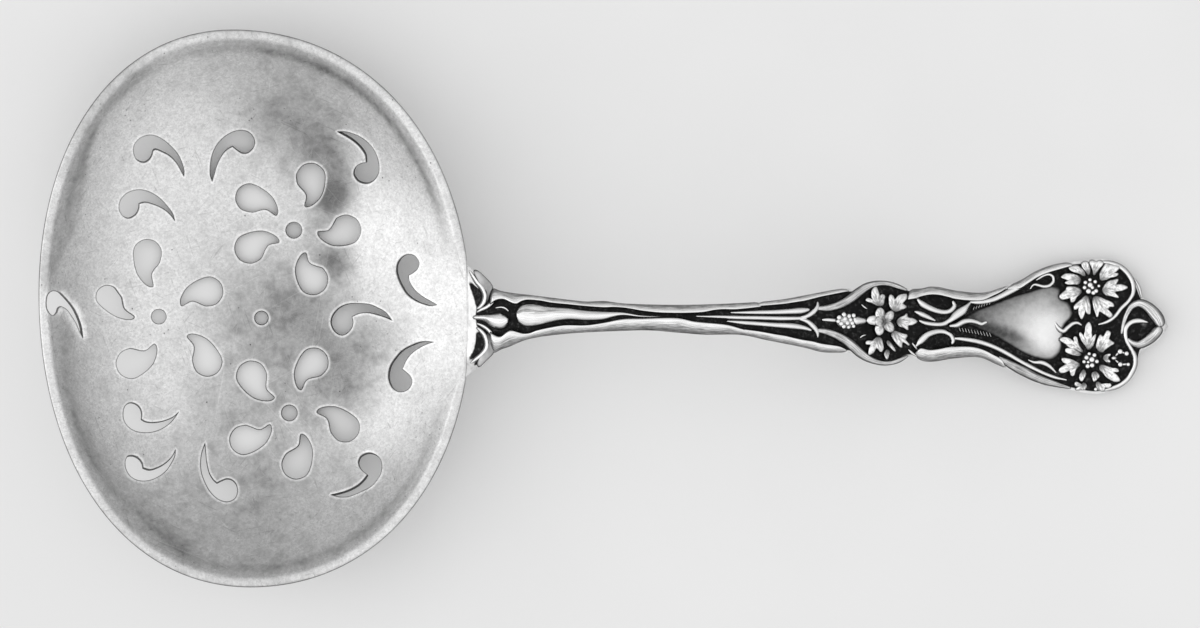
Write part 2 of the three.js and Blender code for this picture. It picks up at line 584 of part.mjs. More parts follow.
// Relief pieces, the uppermost first: each gives way to the ones before it.
function reliefPieces() {
  return [
    heart('mid_blossom_heart', [30.6, -1.4], 1.15, 5),
    heart('upper_blossom_heart', [53.9, 2.5], 0.85, 6),
    heart('lower_blossom_heart', [53.9, -5.7], 0.9, 6),
    ribbon('shield_tendril', vineRise, [
      [49.9, -1.3, 0.1], [50.4, -2.2, 0.2], [50.9, -2.5, 0.22], [51.4, -2.1, 0.2], [52, -1.65, 0.18],
      [52.5, -1.6, 0.16], [53, -1.9, 0.1],
    ]),
    blossom('mid_blossom', [30.9, -1.4], 1.75, [
      [[30.3, 0.1], [28.9, 1.05], [29.8, 2.2], [30.8, 1.4]],
      [[32, -0.3], [31.6, 1.5], [33.4, 1.4], [33.3, 0.15]],
      [[32.3, -1.4], [33.4, -0.5], [34.5, -1.4], [33.5, -2.3]],
      [[31.7, -2.7], [33.4, -3], [33.7, -4.1], [32.8, -4.3]],
      [[30.2, -2.9], [28.8, -3.8], [29.2, -5], [30.6, -4.8]],
    ]),
    blossom('upper_blossom', [53.9, 2.5], 1.3, [
      [[52.8, 3.1], [50.7, 3.55], [51.1, 2.8]],
      [[52.8, 2.2], [51.1, 2.2], [50.6, 1.2], [51.9, 0.75]],
      [[53.5, 1.4], [52.1, -0.1], [53, -1.1], [53.8, -0.5]],
      [[54.4, 1.5], [54.7, -0.8], [56.2, -0.7], [56.5, 0.4]],
      [[55, 2.4], [56.9, 1.3], [58, 2.3], [56.9, 3]],
      [[54.9, 3.2], [56.9, 3.8], [57.1, 4.5], [55.7, 4.8]],
      [[53.7, 3.6], [55, 5], [53.8, 4.9], [52.8, 4.8], [51.7, 4.4]],
    ]),
    blossom('lower_blossom', [53.9, -5.7], 1.35, [
      [[53.9, -4.5], [54.5, -3], [53.75, -1.8], [52.9, -2.9]],
      [[52.9, -5], [52.2, -3.2], [50.9, -3.5], [51.2, -4.7]],
      [[52.7, -6], [50.9, -5.7], [50.6, -6.9], [51.9, -7.3]],
      [[53.3, -6.8], [52.3, -8.3], [53, -8.9], [53.6, -8.4]],
      [[54.4, -6.9], [54.7, -8.5], [55.8, -8.5]],
      [[55, -6.3], [56.3, -8], [57.2, -7.8], [57, -6.9]],
      [[54.8, -4.8], [56.5, -3.8], [56, -2.7], [54.9, -2.9]],
    ]),
    branched('side_bud', vineRise, [
      [[55.2, -5.5, 0.15], [56.2, -5.4, 0.3], [57.1, -4.85, 0.35], [58.1, -5, 0.2]],
      [[55.2, -5.5, 0.15], [56.2, -5.6, 0.3], [57.2, -6.15, 0.35], [58.3, -6.2, 0.2]],
    ]),
    ribbon('upper_curl', vineRise, [
      [47.1, 2.1, 0.1], [47.7, 2.6, 0.2], [48.5, 2.5, 0.25], [49.3, 2.75, 0.25], [50.1, 3.25, 0.12],
    ]),
    ribbon('lower_curl', vineRise, [
      [47.3, -5.5, 0.1], [48, -6, 0.2], [48.8, -6.1, 0.22], [49.4, -6.5, 0.2], [50.1, -7.1, 0.1],
    ]),
    ribbon('finial_outer', stemRise, [
      [57, -3, 0.15], [57.4, -1.7, 0.3], [57.9, -0.6, 0.35], [58.5, 0.4, 0.4], [59.3, 0.85, 0.42], [60.2, 0.5, 0.42],
      [61, -0.4, 0.42], [61.6, -1.6, 0.4], [62, -2.1, 0.3],
    ]),
    ribbon('finial_inner', stemRise, [
      [58, -3.3, 0.15], [58.7, -3.95, 0.35], [59.5, -4, 0.42], [60.4, -3.6, 0.42], [61.1, -2.9, 0.4], [61.6, -2.3, 0.25],
    ]),
    ribbon('lower_lobe_rim', vineRise, [
      [60.1, -1.5, 0.1], [59.2, -1.4, 0.22], [58.4, -1.5, 0.26], [57.9, -2.1, 0.28], [57.8, -2.9, 0.28],
      [58, -3.7, 0.28], [58.5, -4.6, 0.26], [58.8, -5.4, 0.28], [58.8, -6.3, 0.28], [58.5, -7, 0.28],
      [58.1, -7.8, 0.28], [57.3, -8.4, 0.28], [56.4, -8.8, 0.26], [55.3, -9.1, 0.15],
    ]),
    ribbon('upper_lobe_rim', vineRise, [
      [54.8, 5.2, 0.15], [56.3, 5, 0.26], [57.4, 4.5, 0.28], [58.1, 3.8, 0.28], [58.6, 2.9, 0.28], [58.7, 1.8, 0.26],
      [58.2, 0.9, 0.24], [57.3, 0, 0.24], [56.6, -0.9, 0.22], [55.7, -1.5, 0.2], [54.7, -1.8, 0.12],
    ]),
    budPiece(),
    ribbon('bud_stem', vineRise, [[24.1, -1.2, 0.12], [24.7, -1.25, 0.2], [25.3, -1.3, 0.2], [25.8, -1.35, 0.12]]),
    ribbon('upper_main_stem', stemRise, [
      [23.9, 0.05, 0.3], [25, 0.2, 0.42], [26, 0.45, 0.42], [27, 0.8, 0.4], [28, 1.35, 0.38], [28.8, 2, 0.34],
      [29.6, 2.5, 0.3], [30.5, 2.7, 0.28], [31.3, 2.7, 0.27], [32.2, 2.6, 0.26], [33.4, 2.1, 0.12],
    ]),
    ribbon('lower_main_stem', stemRise, [
      [23.9, -2.4, 0.3], [25, -2.65, 0.42], [26, -2.95, 0.42], [27, -3.5, 0.4], [28, -4.3, 0.38], [28.9, -5.05, 0.34],
      [29.6, -5.55, 0.3], [30.5, -5.85, 0.28], [31.5, -5.95, 0.27], [32.5, -5.75, 0.25], [33.5, -5.3, 0.12],
    ]),
    branched('centre_fork', vineRise, [
      [[10, -0.85, 0.1], [13, -0.93, 0.2], [15, -1, 0.2], [17, -1.03, 0.2], [20, -1.1, 0.22], [22.3, -1.05, 0.2]],
      [[21.2, -1.05, 0.15], [22.3, -0.85, 0.24], [23, -0.4, 0.27], [23.5, 0.15, 0.27], [23.6, 0.7, 0.15]],
      [[21.2, -1.1, 0.15], [22.3, -1.4, 0.24], [23, -1.95, 0.27], [23.5, -2.6, 0.27], [23.6, -3.2, 0.15]],
    ]),
    ribbon('upper_reed', vineRise, [
      [13.8, -0.45, 0.1], [16, -0.42, 0.15], [18, -0.4, 0.17], [20, -0.33, 0.2], [21.8, -0.2, 0.24], [22.7, -0.1, 0.15],
    ]),
    ribbon('lower_reed', vineRise, [
      [13.4, -1.4, 0.1], [15, -1.55, 0.17], [17, -1.7, 0.18], [19, -1.85, 0.2], [21, -1.98, 0.22],
      [22.2, -2.2, 0.22], [22.9, -2.45, 0.12],
    ]),
    ribbon('vine_leaf', vineRise, [
      [34.7, -1.3, 0.12], [35.5, -1.6, 0.2], [36.5, -1.75, 0.2], [37.5, -1.7, 0.22], [38.3, -1.3, 0.28],
      [39, -0.7, 0.45], [39.7, -0.2, 0.42], [40.75, 0.5, 0.12],
    ]),
    ribbon('small_leaf', vineRise, [
      [34.2, -0.35, 0.12], [35, -0.6, 0.2], [35.9, -0.95, 0.2], [36.7, -1.4, 0.12],
    ]),
    ribbon('vine_tendril', vineRise, [
      [38.1, -1.95, 0.1], [39, -1.85, 0.2], [39.8, -1.45, 0.24], [40.5, -1.35, 0.22], [41.2, -1.5, 0.18],
      [42, -1.6, 0.16], [42.6, -1.5, 0.12],
    ]),
    strap('upper_waist_strap', strapRise, upperEdge, [
      [33.4, 0.9], [34.3, 1], [35, 1.3], [36, 1.6], [37, 1.6], [38, 1.4], [39, 1.2], [41, 1.05], [42, 1.1],
      [43, 1.35], [44, 1.85], [44.9, 2.55],
    ]),
    strap('lower_waist_strap', strapRise, lowerEdge, [
      [34.3, -4.9], [34.9, -4.3], [36, -4.55], [37, -4.45], [38, -4.2], [39, -4.1], [40, -4.1], [41, -4.2],
      [42, -4.5], [43, -5], [44, -5.6], [44.5, -6.5],
    ]),
    ribbon('upper_vine_loop', vineRise, [
      [34.6, 1.2, 0.15], [35.1, 0.6, 0.3], [35.9, 0.1, 0.28], [37, -0.3, 0.25], [37.8, -0.38, 0.24], [38.4, -0.15, 0.24],
      [38.75, 0.35, 0.25], [38.5, 0.95, 0.15],
    ]),
    ribbon('lower_vine_loop', vineRise, [
      [34.5, -4.3, 0.15], [35, -3.6, 0.33], [35.8, -2.9, 0.3], [37, -2.55, 0.26], [37.8, -2.65, 0.24], [38.4, -3.05, 0.24],
      [38.6, -3.6, 0.22], [38.4, -4, 0.12],
    ]),
    strap('upper_terminal_stem', stemRise, upperEdge, [
      [45.6, 2], [46, 2.15], [47, 2.75], [48, 3.4], [49, 3.85], [50.5, 4.3], [52, 4.75],
    ]),
    ribbon('upper_terminal_vine', vineRise, [
      [40.9, 0.3, 0.12], [42, 0.45, 0.22], [43, 0.7, 0.24], [44, 1.1, 0.26], [45, 1.65, 0.26], [46, 2.1, 0.2],
      [46.7, 2.4, 0.1],
    ]),
    ribbon('lower_terminal_vine', stemRise, [
      [38.9, -3.3, 0.12], [40, -3.35, 0.24], [41, -3.5, 0.26], [42, -3.75, 0.26], [43, -4.1, 0.26], [44, -4.6, 0.26],
      [45, -5.2, 0.27], [46, -5.85, 0.27], [47, -6.4, 0.27], [48, -6.9, 0.27], [49, -7.4, 0.26], [50, -7.8, 0.22],
      [51.2, -8.1, 0.12],
    ]),
    ribbon('lower_terminal_stem', stemRise, [
      [44.4, -6, 0.15], [45.4, -6.65, 0.35], [46.5, -7.25, 0.38], [47.5, -7.75, 0.36], [48.6, -8.2, 0.32],
      [49.8, -8.5, 0.26], [51.2, -8.8, 0.15],
    ]),
    shieldPiece(),
    strap('upper_shank_strap', strapRise, upperEdge, [
      [16.8, 0.25], [18, 0.32], [20, 0.5], [21, 0.65], [22, 0.8], [23, 1.05], [24, 1.3], [25, 1.5], [26, 1.7],
      [27, 1.9],
    ]),
    strap('lower_shank_strap', strapRise, lowerEdge, [
      [15.8, -2.3], [17, -2.45], [19, -2.8], [20, -2.95], [21, -3.2], [22, -3.4], [23, -3.55], [24, -3.8],
      [25, -3.95], [26, -4.15], [26.8, -4.6],
    ]),
    ribbon('neck_curl_upper', vineRise, [
      [-14.9, 3.4, 0.1], [-13.9, 2.5, 0.2], [-13.35, 1.95, 0.22], [-13.3, 1.4, 0.22], [-13.5, 0.8, 0.2],
      [-14.1, 0.1, 0.1],
    ]),
    ribbon('neck_curl_lower', vineRise, [
      [-14.3, -2.2, 0.1], [-13.7, -2.55, 0.2], [-13.2, -3.2, 0.22], [-13.05, -4, 0.22], [-13.3, -4.8, 0.22],
      [-14.1, -5.4, 0.2], [-14.8, -5.9, 0.1],
    ]),
    ribbon('neck_pod', stemRise, [
      [-14.2, -1.05, 0.1], [-13.3, -1.05, 0.14], [-12.6, -1.1, 0.4], [-12, -1.35, 0.72], [-11.4, -1.35, 0.75],
      [-10.9, -1.25, 0.5], [-10.5, -1.1, 0.15],
    ]),
    ribbon('neck_pod_curl', vineRise, [
      [-12.1, 0.05, 0.1], [-11.4, 0.15, 0.15], [-10.9, 0, 0.15], [-10.5, -0.35, 0.1],
    ]),
    strap('upper_neck_strap', strapRise, upperEdge, [
      [-13.9, -0.2], [-13.2, -0.15], [-12.7, 0.35], [-12.2, 0.85], [-11.1, 1.1], [-10.1, 0.6], [-9.7, 0.55],
      [-9.2, 0.85], [-8.6, 1.05], [-7, 0.95], [-6, 0.75], [-4, 0.55], [-2, 0.35], [0, 0.2], [1, 0.25], [2, 0.2],
      [3, 0.05], [4, -0.15], [6, -0.4], [10, -0.42], [13, -0.3], [14.6, 0.1],
    ]),
    strap('lower_neck_strap', strapRise, lowerEdge, [
      [-14, -1.7], [-13.5, -1.85], [-12.5, -2.7], [-11.5, -3.4], [-10.4, -2.5], [-9.5, -2.7], [-9, -2.85],
      [-8.3, -2.8], [-7.5, -2.5], [-6.5, -2.25], [-4.5, -1.9], [-2, -1.9], [0, -1.6], [2, -1.2], [4, -1.15],
      [8, -1.05], [10, -1.45], [13.5, -1.85], [15, -2.3], [16.6, -2.8],
    ]),
    shankLeaf(),
  ];
}

function apart(one, other) {
  const [a, b] = [one.boundingBox(), other.boundingBox()];
  return [0, 1, 2].some((axis) => a.max[axis] < b.min[axis] || b.max[axis] < a.min[axis]);
}

function givenWay(pieces) {
  return pieces.map((lower, i) => {
    const cut = pieces
      .slice(0, i)
      .filter((upper) => !apart(lower.solid, upper.envelope))
      .reduce((solid, upper) => solid.subtract(upper.envelope), lower.solid);
    return { ...lower, solid: largestOf(cut) };
  });
}

const spoon = new THREE.Group();

function addMesh(name, solid, finish) {
  const mesh = new THREE.Mesh(geometryOf(solid), finish);
  mesh.name = name;
  spoon.add(mesh);
}

addMesh('bowl', bowlSolid(), satin);
addMesh('handle_blank', blankSolid(), oxidised);
givenWay(reliefPieces()).forEach(({ name, solid, finish }) => addMesh(name, solid, finish));

export default spoon;
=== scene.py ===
# Bonbon spoon: a pierced satin bowl and a handle with bright relief on a darkened ground.
# Shapes are worked out in millimetres on the spoon's frame and made in metres.
import math

import bmesh
import bpy
import numpy as np
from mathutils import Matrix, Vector, noise
from mathutils.geometry import delaunay_2d_cdt


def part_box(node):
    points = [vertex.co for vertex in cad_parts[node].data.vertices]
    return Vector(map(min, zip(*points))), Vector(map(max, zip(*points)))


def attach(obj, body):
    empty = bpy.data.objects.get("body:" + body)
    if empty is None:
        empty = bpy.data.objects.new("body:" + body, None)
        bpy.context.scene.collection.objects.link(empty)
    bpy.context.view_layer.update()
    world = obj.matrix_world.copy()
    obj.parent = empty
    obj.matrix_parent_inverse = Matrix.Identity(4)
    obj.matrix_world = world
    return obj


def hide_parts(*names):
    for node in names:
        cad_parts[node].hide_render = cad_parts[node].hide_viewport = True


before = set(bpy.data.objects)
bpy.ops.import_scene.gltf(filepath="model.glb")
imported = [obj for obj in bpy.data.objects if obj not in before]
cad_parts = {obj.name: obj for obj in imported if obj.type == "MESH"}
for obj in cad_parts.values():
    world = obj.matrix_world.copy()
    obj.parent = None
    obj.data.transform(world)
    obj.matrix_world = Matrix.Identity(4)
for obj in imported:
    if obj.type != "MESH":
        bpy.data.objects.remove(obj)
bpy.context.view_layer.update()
mm = 0.001

# Sizes that the frame gives

bowlLow, bowlHigh = (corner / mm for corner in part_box("bowl"))
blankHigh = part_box("handle_blank")[1] / mm

# Curves and shares

def throughPoints(points, spacing, closed=False):
    # A centripetal spline through the points; columns past the first two, such as widths, go along
    spots = np.array(points, float)
    if closed:
        ring = np.vstack([spots[-1:], spots, spots[:2]])
    else:
        ring = np.vstack([2 * spots[:1] - spots[1:2], spots, 2 * spots[-1:] - spots[-2:-1]])
    out = []
    for a, b, c, d in zip(ring, ring[1:], ring[2:], ring[3:]):
        gaps = [max(1e-4, math.dist(p[:2], q[:2]) ** 0.5) for p, q in ((a, b), (b, c), (c, d))]
        t0, t1 = 0.0, gaps[0]
        t2, t3 = t1 + gaps[1], t1 + gaps[1] + gaps[2]
        steps = max(2, math.ceil(math.dist(b[:2], c[:2]) / spacing))
        for t in np.linspace(t1, t2, steps, endpoint=False):
            p = (t1 - t) / (t1 - t0) * a + (t - t0) / (t1 - t0) * b
            q = (t2 - t) / (t2 - t1) * b + (t - t1) / (t2 - t1) * c
            r = (t3 - t) / (t3 - t2) * c + (t - t2) / (t3 - t2) * d
            u = (t2 - t) / (t2 - t0) * p + (t - t0) / (t2 - t0) * q
            v = (t3 - t) / (t3 - t1) * q + (t - t1) / (t3 - t1) * r
            out.append((t2 - t) / (t2 - t1) * u + (t - t1) / (t2 - t1) * v)
    if not closed:
        out.append(ring[-2])
    return np.array(out)


def bezier(a, b, c, d, count):
    t = np.linspace(0, 1, count, endpoint=False)[:, None]
    a, b, c, d = (np.array(p, float) for p in (a, b, c, d))
    return (1 - t) ** 3 * a + 3 * (1 - t) ** 2 * t * b + 3 * (1 - t) * t * t * c + t ** 3 * d


def circle(centre, radius, count=36, stretch=(1, 1), turn=0.0):
    angles = np.linspace(0, 2 * math.pi, count, endpoint=False)
    flat = np.column_stack([radius * stretch[0] * np.cos(angles), radius * stretch[1] * np.sin(angles)])
    c, s = math.cos(turn), math.sin(turn)
    return np.array(centre) + flat @ np.array([[c, s], [-s, c]])


def lengthAlong(line):
    return np.concatenate([[0], np.cumsum(np.hypot(*np.diff(line[:, :2], axis=0).T))])


def ramp(value, start, end):
    # Goes from 0 to 1 between start and end, either of which may be the lower one
    return np.clip((value - start) / (end - start), 0, 1)


def eased(share):
    return share * share * (3 - 2 * share)


def patch(x, y, centre, reach):
    # 1 in the middle of an oval patch, fading out around it
    return np.exp(-((x - centre[0]) / reach[0]) ** 2 - ((y - centre[1]) / reach[1]) ** 2)


# Bowl: its outline's extreme points, its section, its cuts and how finely it is cut

bowl = {
    "neck": (bowlHigh.x, -0.9),
    "crown": (-41.1, bowlHigh.y),
    "front": (bowlLow.x, 1.6),
    "keel": (-39.1, bowlLow.y),
    "bulge": 0.59,
    "sheet": 0.9,
    "rim": bowlHigh.z,
    "floorShare": 0.42,
    "wallCurve": 2.25,
    "neckFloorShare": 0.28,
    "neckWallCurve": 1.4,
    "neckRampAngle": 1.1,
    "lip": 1.0,
    "lipRoll": 0.12,
    "neckLip": 0.12,
    "neckSide": -30,
    "neckReach": (3.0, 9.5),
    "dish": 0.1,
    "dents": 0.05,
    "dentScale": 0.16,
    "meshStep": 0.45,
    "rowShare": 0.866,
    "lipLines": (0.65, 0.9, 1.0, 1.25),
    "guard": 2.4,
    "cutStep": 0.16,
    "cutSlant": 0.36,
    "slantRoom": (1.0, 2.5),
    "closeIn": 0.06,
    "edgeRadius": 0.14,
    "rimRadius": 0.3,
    "rimBand": 0.6,
    "neckRimShare": 0.25,
    "neckRimLip": 0.5,
    "edgeTurns": (30, 60, 90),
}
bowlCentre = np.array([(bowlLow.x + bowlHigh.x) / 2, 0.0])
wallHeight = bowl["rim"] - bowl["sheet"]


def quarter(side, end, count, back=False):
    # One fourth of the bowl's outline, from its side to its end or back
    bulge = bowl["bulge"]
    sideHandle = (side[0] + (end[0] - side[0]) * bulge, side[1])
    endHandle = (end[0], end[1] + (side[1] - end[1]) * bulge)
    corners = [side, sideHandle, endHandle, end]
    return bezier(*(corners[::-1] if back else corners), count)


rimLine = np.vstack([
    quarter(bowl["crown"], bowl["neck"], 90, back=True),
    quarter(bowl["crown"], bowl["front"], 90),
    quarter(bowl["keel"], bowl["front"], 90, back=True),
    quarter(bowl["keel"], bowl["neck"], 90),
])
rimSpokes = rimLine - bowlCentre
rimBearing = np.arctan2(rimSpokes[:, 1], rimSpokes[:, 0])
rimOrder = np.argsort(rimBearing)
rimReach = np.hypot(rimSpokes[:, 0], rimSpokes[:, 1])


def rimRadiusAt(x, y):
    bearing = np.arctan2(y - bowlCentre[1], x - bowlCentre[0])
    return np.interp(bearing, rimBearing[rimOrder], rimReach[rimOrder], period=2 * math.pi)


def rimDistance(x, y):
    return rimRadiusAt(x, y) - np.hypot(x - bowlCentre[0], y - bowlCentre[1])


def lipAt(x, y):
    # The lip fades out at the neck, where the wall runs on into the handle
    near, far = bowl["neckReach"]
    away = np.where(np.asarray(x) > bowl["neckSide"], np.abs(np.asarray(y) - bowl["neck"][1]), far)
    return bowl["neckLip"] + (bowl["lip"] - bowl["neckLip"]) * eased(ramp(away, near, far))


def bowlClimb(x, y):
    # How far out a point, the rim and the wall's foot lie, and the wall's curve, the point's share of the
    # way up it and the wall's slope there
    reach = rimRadiusAt(x, y)
    radius = np.hypot(x - bowlCentre[0], y - bowlCentre[1])
    # The wall is a gentle ramp towards the neck
    aside = np.abs(y - bowlCentre[1]) / np.maximum(1e-6, radius)
    ease = np.where(x > bowlCentre[0], eased(np.clip(aside / math.sin(bowl["neckRampAngle"]), 0, 1)), 1)
    foot = reach * (bowl["neckFloorShare"] + (bowl["floorShare"] - bowl["neckFloorShare"]) * ease)
    curve = bowl["neckWallCurve"] + (bowl["wallCurve"] - bowl["neckWallCurve"]) * ease
    run = reach - lipAt(x, y) - foot
    climb = np.clip((radius - foot) / run, 0, 1)
    slope = wallHeight * curve * np.maximum(climb, 1e-6) ** (curve - 1) / run
    return radius, reach, foot, curve, climb, slope


def bowlInside(x, y):
    radius, reach, foot, curve, climb, _ = bowlClimb(x, y)
    dish = bowl["dish"] * (np.clip(radius / foot, 0, 1) ** 2 - 1)
    lip = lipAt(x, y)
    roll = bowl["lipRoll"] * np.sin(np.clip((radius - reach + lip) / lip, 0, 1) * math.pi) * lip
    return bowl["sheet"] + dish + wallHeight * climb ** curve + roll


def bowlOutside(x, y):
    radius, reach, _, curve, climb, slope = bowlClimb(x, y)
    onLip = np.clip((radius - reach + bowl["lip"]) / bowl["lip"], 0, 1)
    drop = bowl["sheet"] * (np.hypot(1, slope) * (1 - onLip) + onLip)
    return bowl["sheet"] + wallHeight * climb ** curve - drop


def slantAt(x, y):
    # The sheet is cut square to its face, so on the wall the lower edge of a cut lies further out
    radius, reach, *_, slope = bowlClimb(x, y)
    room = ramp(reach - radius, *bowl["slantRoom"])
    shift = bowl["cutSlant"] * bowl["sheet"] * slope / np.hypot(1, slope) * room / np.maximum(radius, 1e-6)
    return np.column_stack([(x - bowlCentre[0]) * shift, (y - bowlCentre[1]) * shift])


# Piercings. A comma has its round side, from the corner where its hollow side leaves the head, round
# the head and along the back to the tip of the tail, and then its hollow side on the way back.

commas = [
    ([(-50.05, 17.45), (-50.2, 16.9), (-50.5, 16.45), (-51.05, 16.15), (-51.8, 16.4), (-52.2, 17.2),
      (-52.1, 18.2), (-51.3, 19), (-50.2, 19.25), (-49.1, 18.85), (-48.1, 18.05), (-47.3, 17.1),
      (-46.85, 16.1), (-46.63, 15.2), (-46.68, 14.6)],
     [(-47, 15.2), (-47.5, 16.1), (-48.2, 16.85), (-49.1, 17.35), (-49.8, 17.6)]),
    ([(-51.6, 11.6), (-51.65, 11.1), (-51.9, 10.5), (-52.4, 10.1), (-52.9, 9.97), (-53.5, 10.3),
      (-53.85, 11), (-53.7, 12), (-53, 12.8), (-51.8, 13.2), (-50.6, 13), (-49.4, 12.3), (-48.5, 11.35),
      (-47.9, 10.5), (-47.67, 9.65)],
     [(-48.15, 10.3), (-48.95, 11), (-50, 11.5), (-51, 11.75)]),
    ([(-41.3, 17.95), (-40.8, 17.55), (-40.2, 17.2), (-39.6, 17.25), (-39.05, 17.7), (-38.8, 18.4),
      (-39, 19.1), (-39.5, 19.6), (-40.3, 19.8), (-41.3, 19.6), (-42.3, 19), (-43.1, 18.1), (-43.6, 17),
      (-43.8, 15.9), (-43.8, 14.8), (-43.55, 14.05)],
     [(-43.3, 14.9), (-43, 15.9), (-42.5, 16.9), (-41.9, 17.6)]),
    ([(-26.45, 16.2), (-27, 16.1), (-27.6, 15.7), (-27.85, 14.95), (-27.45, 14.2), (-26.9, 13.9),
      (-26.3, 13.83), (-25.8, 14), (-25.3, 14.45), (-25, 15.1), (-24.98, 16), (-25.2, 16.9),
      (-25.6, 17.7), (-26.2, 18.4), (-27, 19), (-27.9, 19.4), (-28.8, 19.62), (-29.65, 19.62)],
     [(-28.9, 19.2), (-28.3, 18.85), (-27.5, 18.25), (-26.95, 17.65), (-26.55, 17)]),
    ([(-21.67, 3.65), (-21.07, 4), (-20.65, 4.42), (-20.49, 5.04), (-20.8, 5.67), (-21.35, 6.01),
      (-21.97, 5.99), (-22.6, 5.6), (-22.97, 5.04), (-23.1, 4.28), (-22.94, 3.44), (-22.5, 2.47),
      (-21.9, 1.57), (-21, 0.88), (-20, 0.46), (-19.2, 0.28), (-18.46, 0.39)],
     [(-19.05, 0.74), (-19.9, 1.2), (-20.7, 1.8), (-21.3, 2.5), (-21.6, 3.1)]),
    ([(-28, -0.9), (-27.9, -1.7), (-28.2, -2.4), (-28.9, -2.95), (-29.5, -2.9), (-30.1, -2.4),
      (-30.4, -1.55), (-30.2, -0.7), (-29.6, 0), (-28.9, 0.4), (-28.1, 0.57), (-27, 0.57), (-26, 0.46),
      (-25, 0.04), (-24.2, -0.45), (-23.5, -1.35)],
     [(-24.3, -1), (-25.2, -0.72), (-26.1, -0.5), (-27.1, -0.55)]),
    ([(-22.36, -6.7), (-21.97, -7.04), (-21.5, -7.46), (-21.3, -8.1), (-21.55, -8.78), (-22.1, -9.17),
      (-22.8, -9.24), (-23.5, -8.85), (-23.9, -8.1), (-24, -7.4), (-23.8, -6.4), (-23.2, -5.44),
      (-22.4, -4.6), (-21.3, -4), (-20.2, -3.64), (-18.8, -3.7)],
     [(-19.5, -3.9), (-20.4, -4.33), (-21.3, -4.96), (-21.97, -5.8)]),
    ([(-26.33, -18.4), (-26.8, -18.05), (-27.2, -17.55), (-27.33, -17), (-27.1, -16.4), (-26.55, -16.05),
      (-25.95, -15.97), (-25.3, -16.2), (-24.8, -16.7), (-24.64, -17.3), (-24.7, -18.1), (-25.1, -18.9),
      (-25.8, -19.7), (-26.7, -20.2), (-27.6, -20.6), (-28.4, -20.87), (-29.4, -20.9), (-30.4, -20.65)],
     [(-29.55, -20.45), (-28.7, -20.2), (-27.9, -19.85), (-27.2, -19.4), (-26.7, -18.9)]),
    ([(-51.35, -12.25), (-51.3, -11.8), (-51.45, -11.1), (-51.9, -10.6), (-52.6, -10.4), (-53.2, -10.8),
      (-53.4, -11.6), (-53.3, -12.4), (-52.9, -13.05), (-52.1, -13.6), (-50.7, -13.8), (-49.4, -13.5),
      (-48.3, -12.8), (-47.6, -12), (-47.25, -11.45)],
     [(-47.9, -12), (-49, -12.45), (-50.1, -12.6), (-50.9, -12.5)]),
    ([(-51.1, -17.6), (-51.2, -17.1), (-51.6, -16.55), (-52.2, -16.25), (-52.8, -16.3), (-53.1, -16.9),
      (-53, -17.8), (-52.5, -18.6), (-51.7, -19.05), (-50.6, -19.1), (-49.5, -18.7), (-48.6, -18),
      (-48, -17.1), (-47.65, -16.3), (-47.6, -15.6)],
     [(-47.95, -16.3), (-48.6, -17), (-49.5, -17.55), (-50.4, -17.8)]),
    ([(-43, -19.3), (-42.5, -19.05), (-41.9, -18.85), (-41.3, -19), (-40.85, -19.5), (-40.7, -20.3),
      (-41, -21.1), (-41.8, -21.45), (-42.8, -21.2), (-43.7, -20.4), (-44.3, -19.4), (-44.75, -18.2),
      (-44.85, -17), (-44.7, -15.9), (-44.35, -14.9)],
     [(-44.25, -16), (-44.1, -17.2), (-43.8, -18.3), (-43.35, -19)]),
    ([(-60.05, 0.2), (-60.3, 0.05), (-60.5, -0.45), (-60.9, -0.8), (-61.3, -0.6), (-61.65, 0),
      (-61.7, 0.9), (-61.5, 1.6), (-61, 1.95), (-60.3, 1.85), (-59.8, 1.4), (-59.2, 0.7), (-58.65, -0.1),
      (-58.2, -1.1), (-57.9, -2.1), (-57.75, -3.35)],
     [(-58.15, -2.55), (-58.5, -1.7), (-59, -0.85), (-59.55, -0.1)]),
]

# A petal has the centre of its round end, that end's radius, its tip and its hollow side, left or right.
# Its form is one for all: the turns around its round end, and for its other points how far towards the
# tip and how far aside, in radii.

petalForm = {
    "rear": (80, 125, 170, 215, 260, 300),
    "nose": ((0.32, -0.74), (0.6, -0.18), (0.97, -0.18), (0.95, 0.16), (0.6, 0.8)),
}
petals = [
    ((-32.6, 14.5), 1.65, (-33.0, 11.2), "right"),
    ((-28.7, 8.7), 1.7, (-31.9, 8.2), "right"),
    ((-32.4, 3.2), 1.7, (-33.5, 6.2), "right"),
    ((-39.4, 6.7), 1.7, (-36.1, 7.7), "right"),
    ((-39.4, 12.3), 1.6, (-36.2, 10.5), "right"),
    ((-50.75, 6.1), 1.6, (-50.4, 2.3), "left"),
    ((-44.0, 1.9), 1.65, (-47.2, 0.5), "left"),
    ((-44.1, -5.9), 1.65, (-46.2, -2.8), "left"),
    ((-52.5, -6.1), 1.7, (-49.7, -4.1), "left"),
    ((-55.1, 1.3), 1.3, (-52.2, -1.2), "left"),
    ((-32.3, -6.0), 1.65, (-34.0, -9.0), "left"),
    ((-28.8, -13.2), 1.65, (-31.9, -11.2), "left"),
    ((-34.2, -17.3), 1.65, (-33.4, -13.9), "left"),
    ((-40.0, -14.6), 1.65, (-36.9, -13.1), "left"),
    ((-39.2, -7.5), 1.7, (-36.8, -10.2), "left"),
]

# A dot has its centre and its radius
dots = [
    ((-34.5, 8.7), 0.92),
    ((-49.5, -0.9), 0.85),
    ((-35.0, -11.6), 0.9),
    ((-38.1, -1.05), 0.78),
]


def commaOutline(comma):
    roundSide, hollowSide = comma
    back = throughPoints(roundSide, bowl["cutStep"])
    hollow = throughPoints([roundSide[-1], *hollowSide, roundSide[0]], bowl["cutStep"])
    return np.vstack([back[:-1], hollow[:-1]])


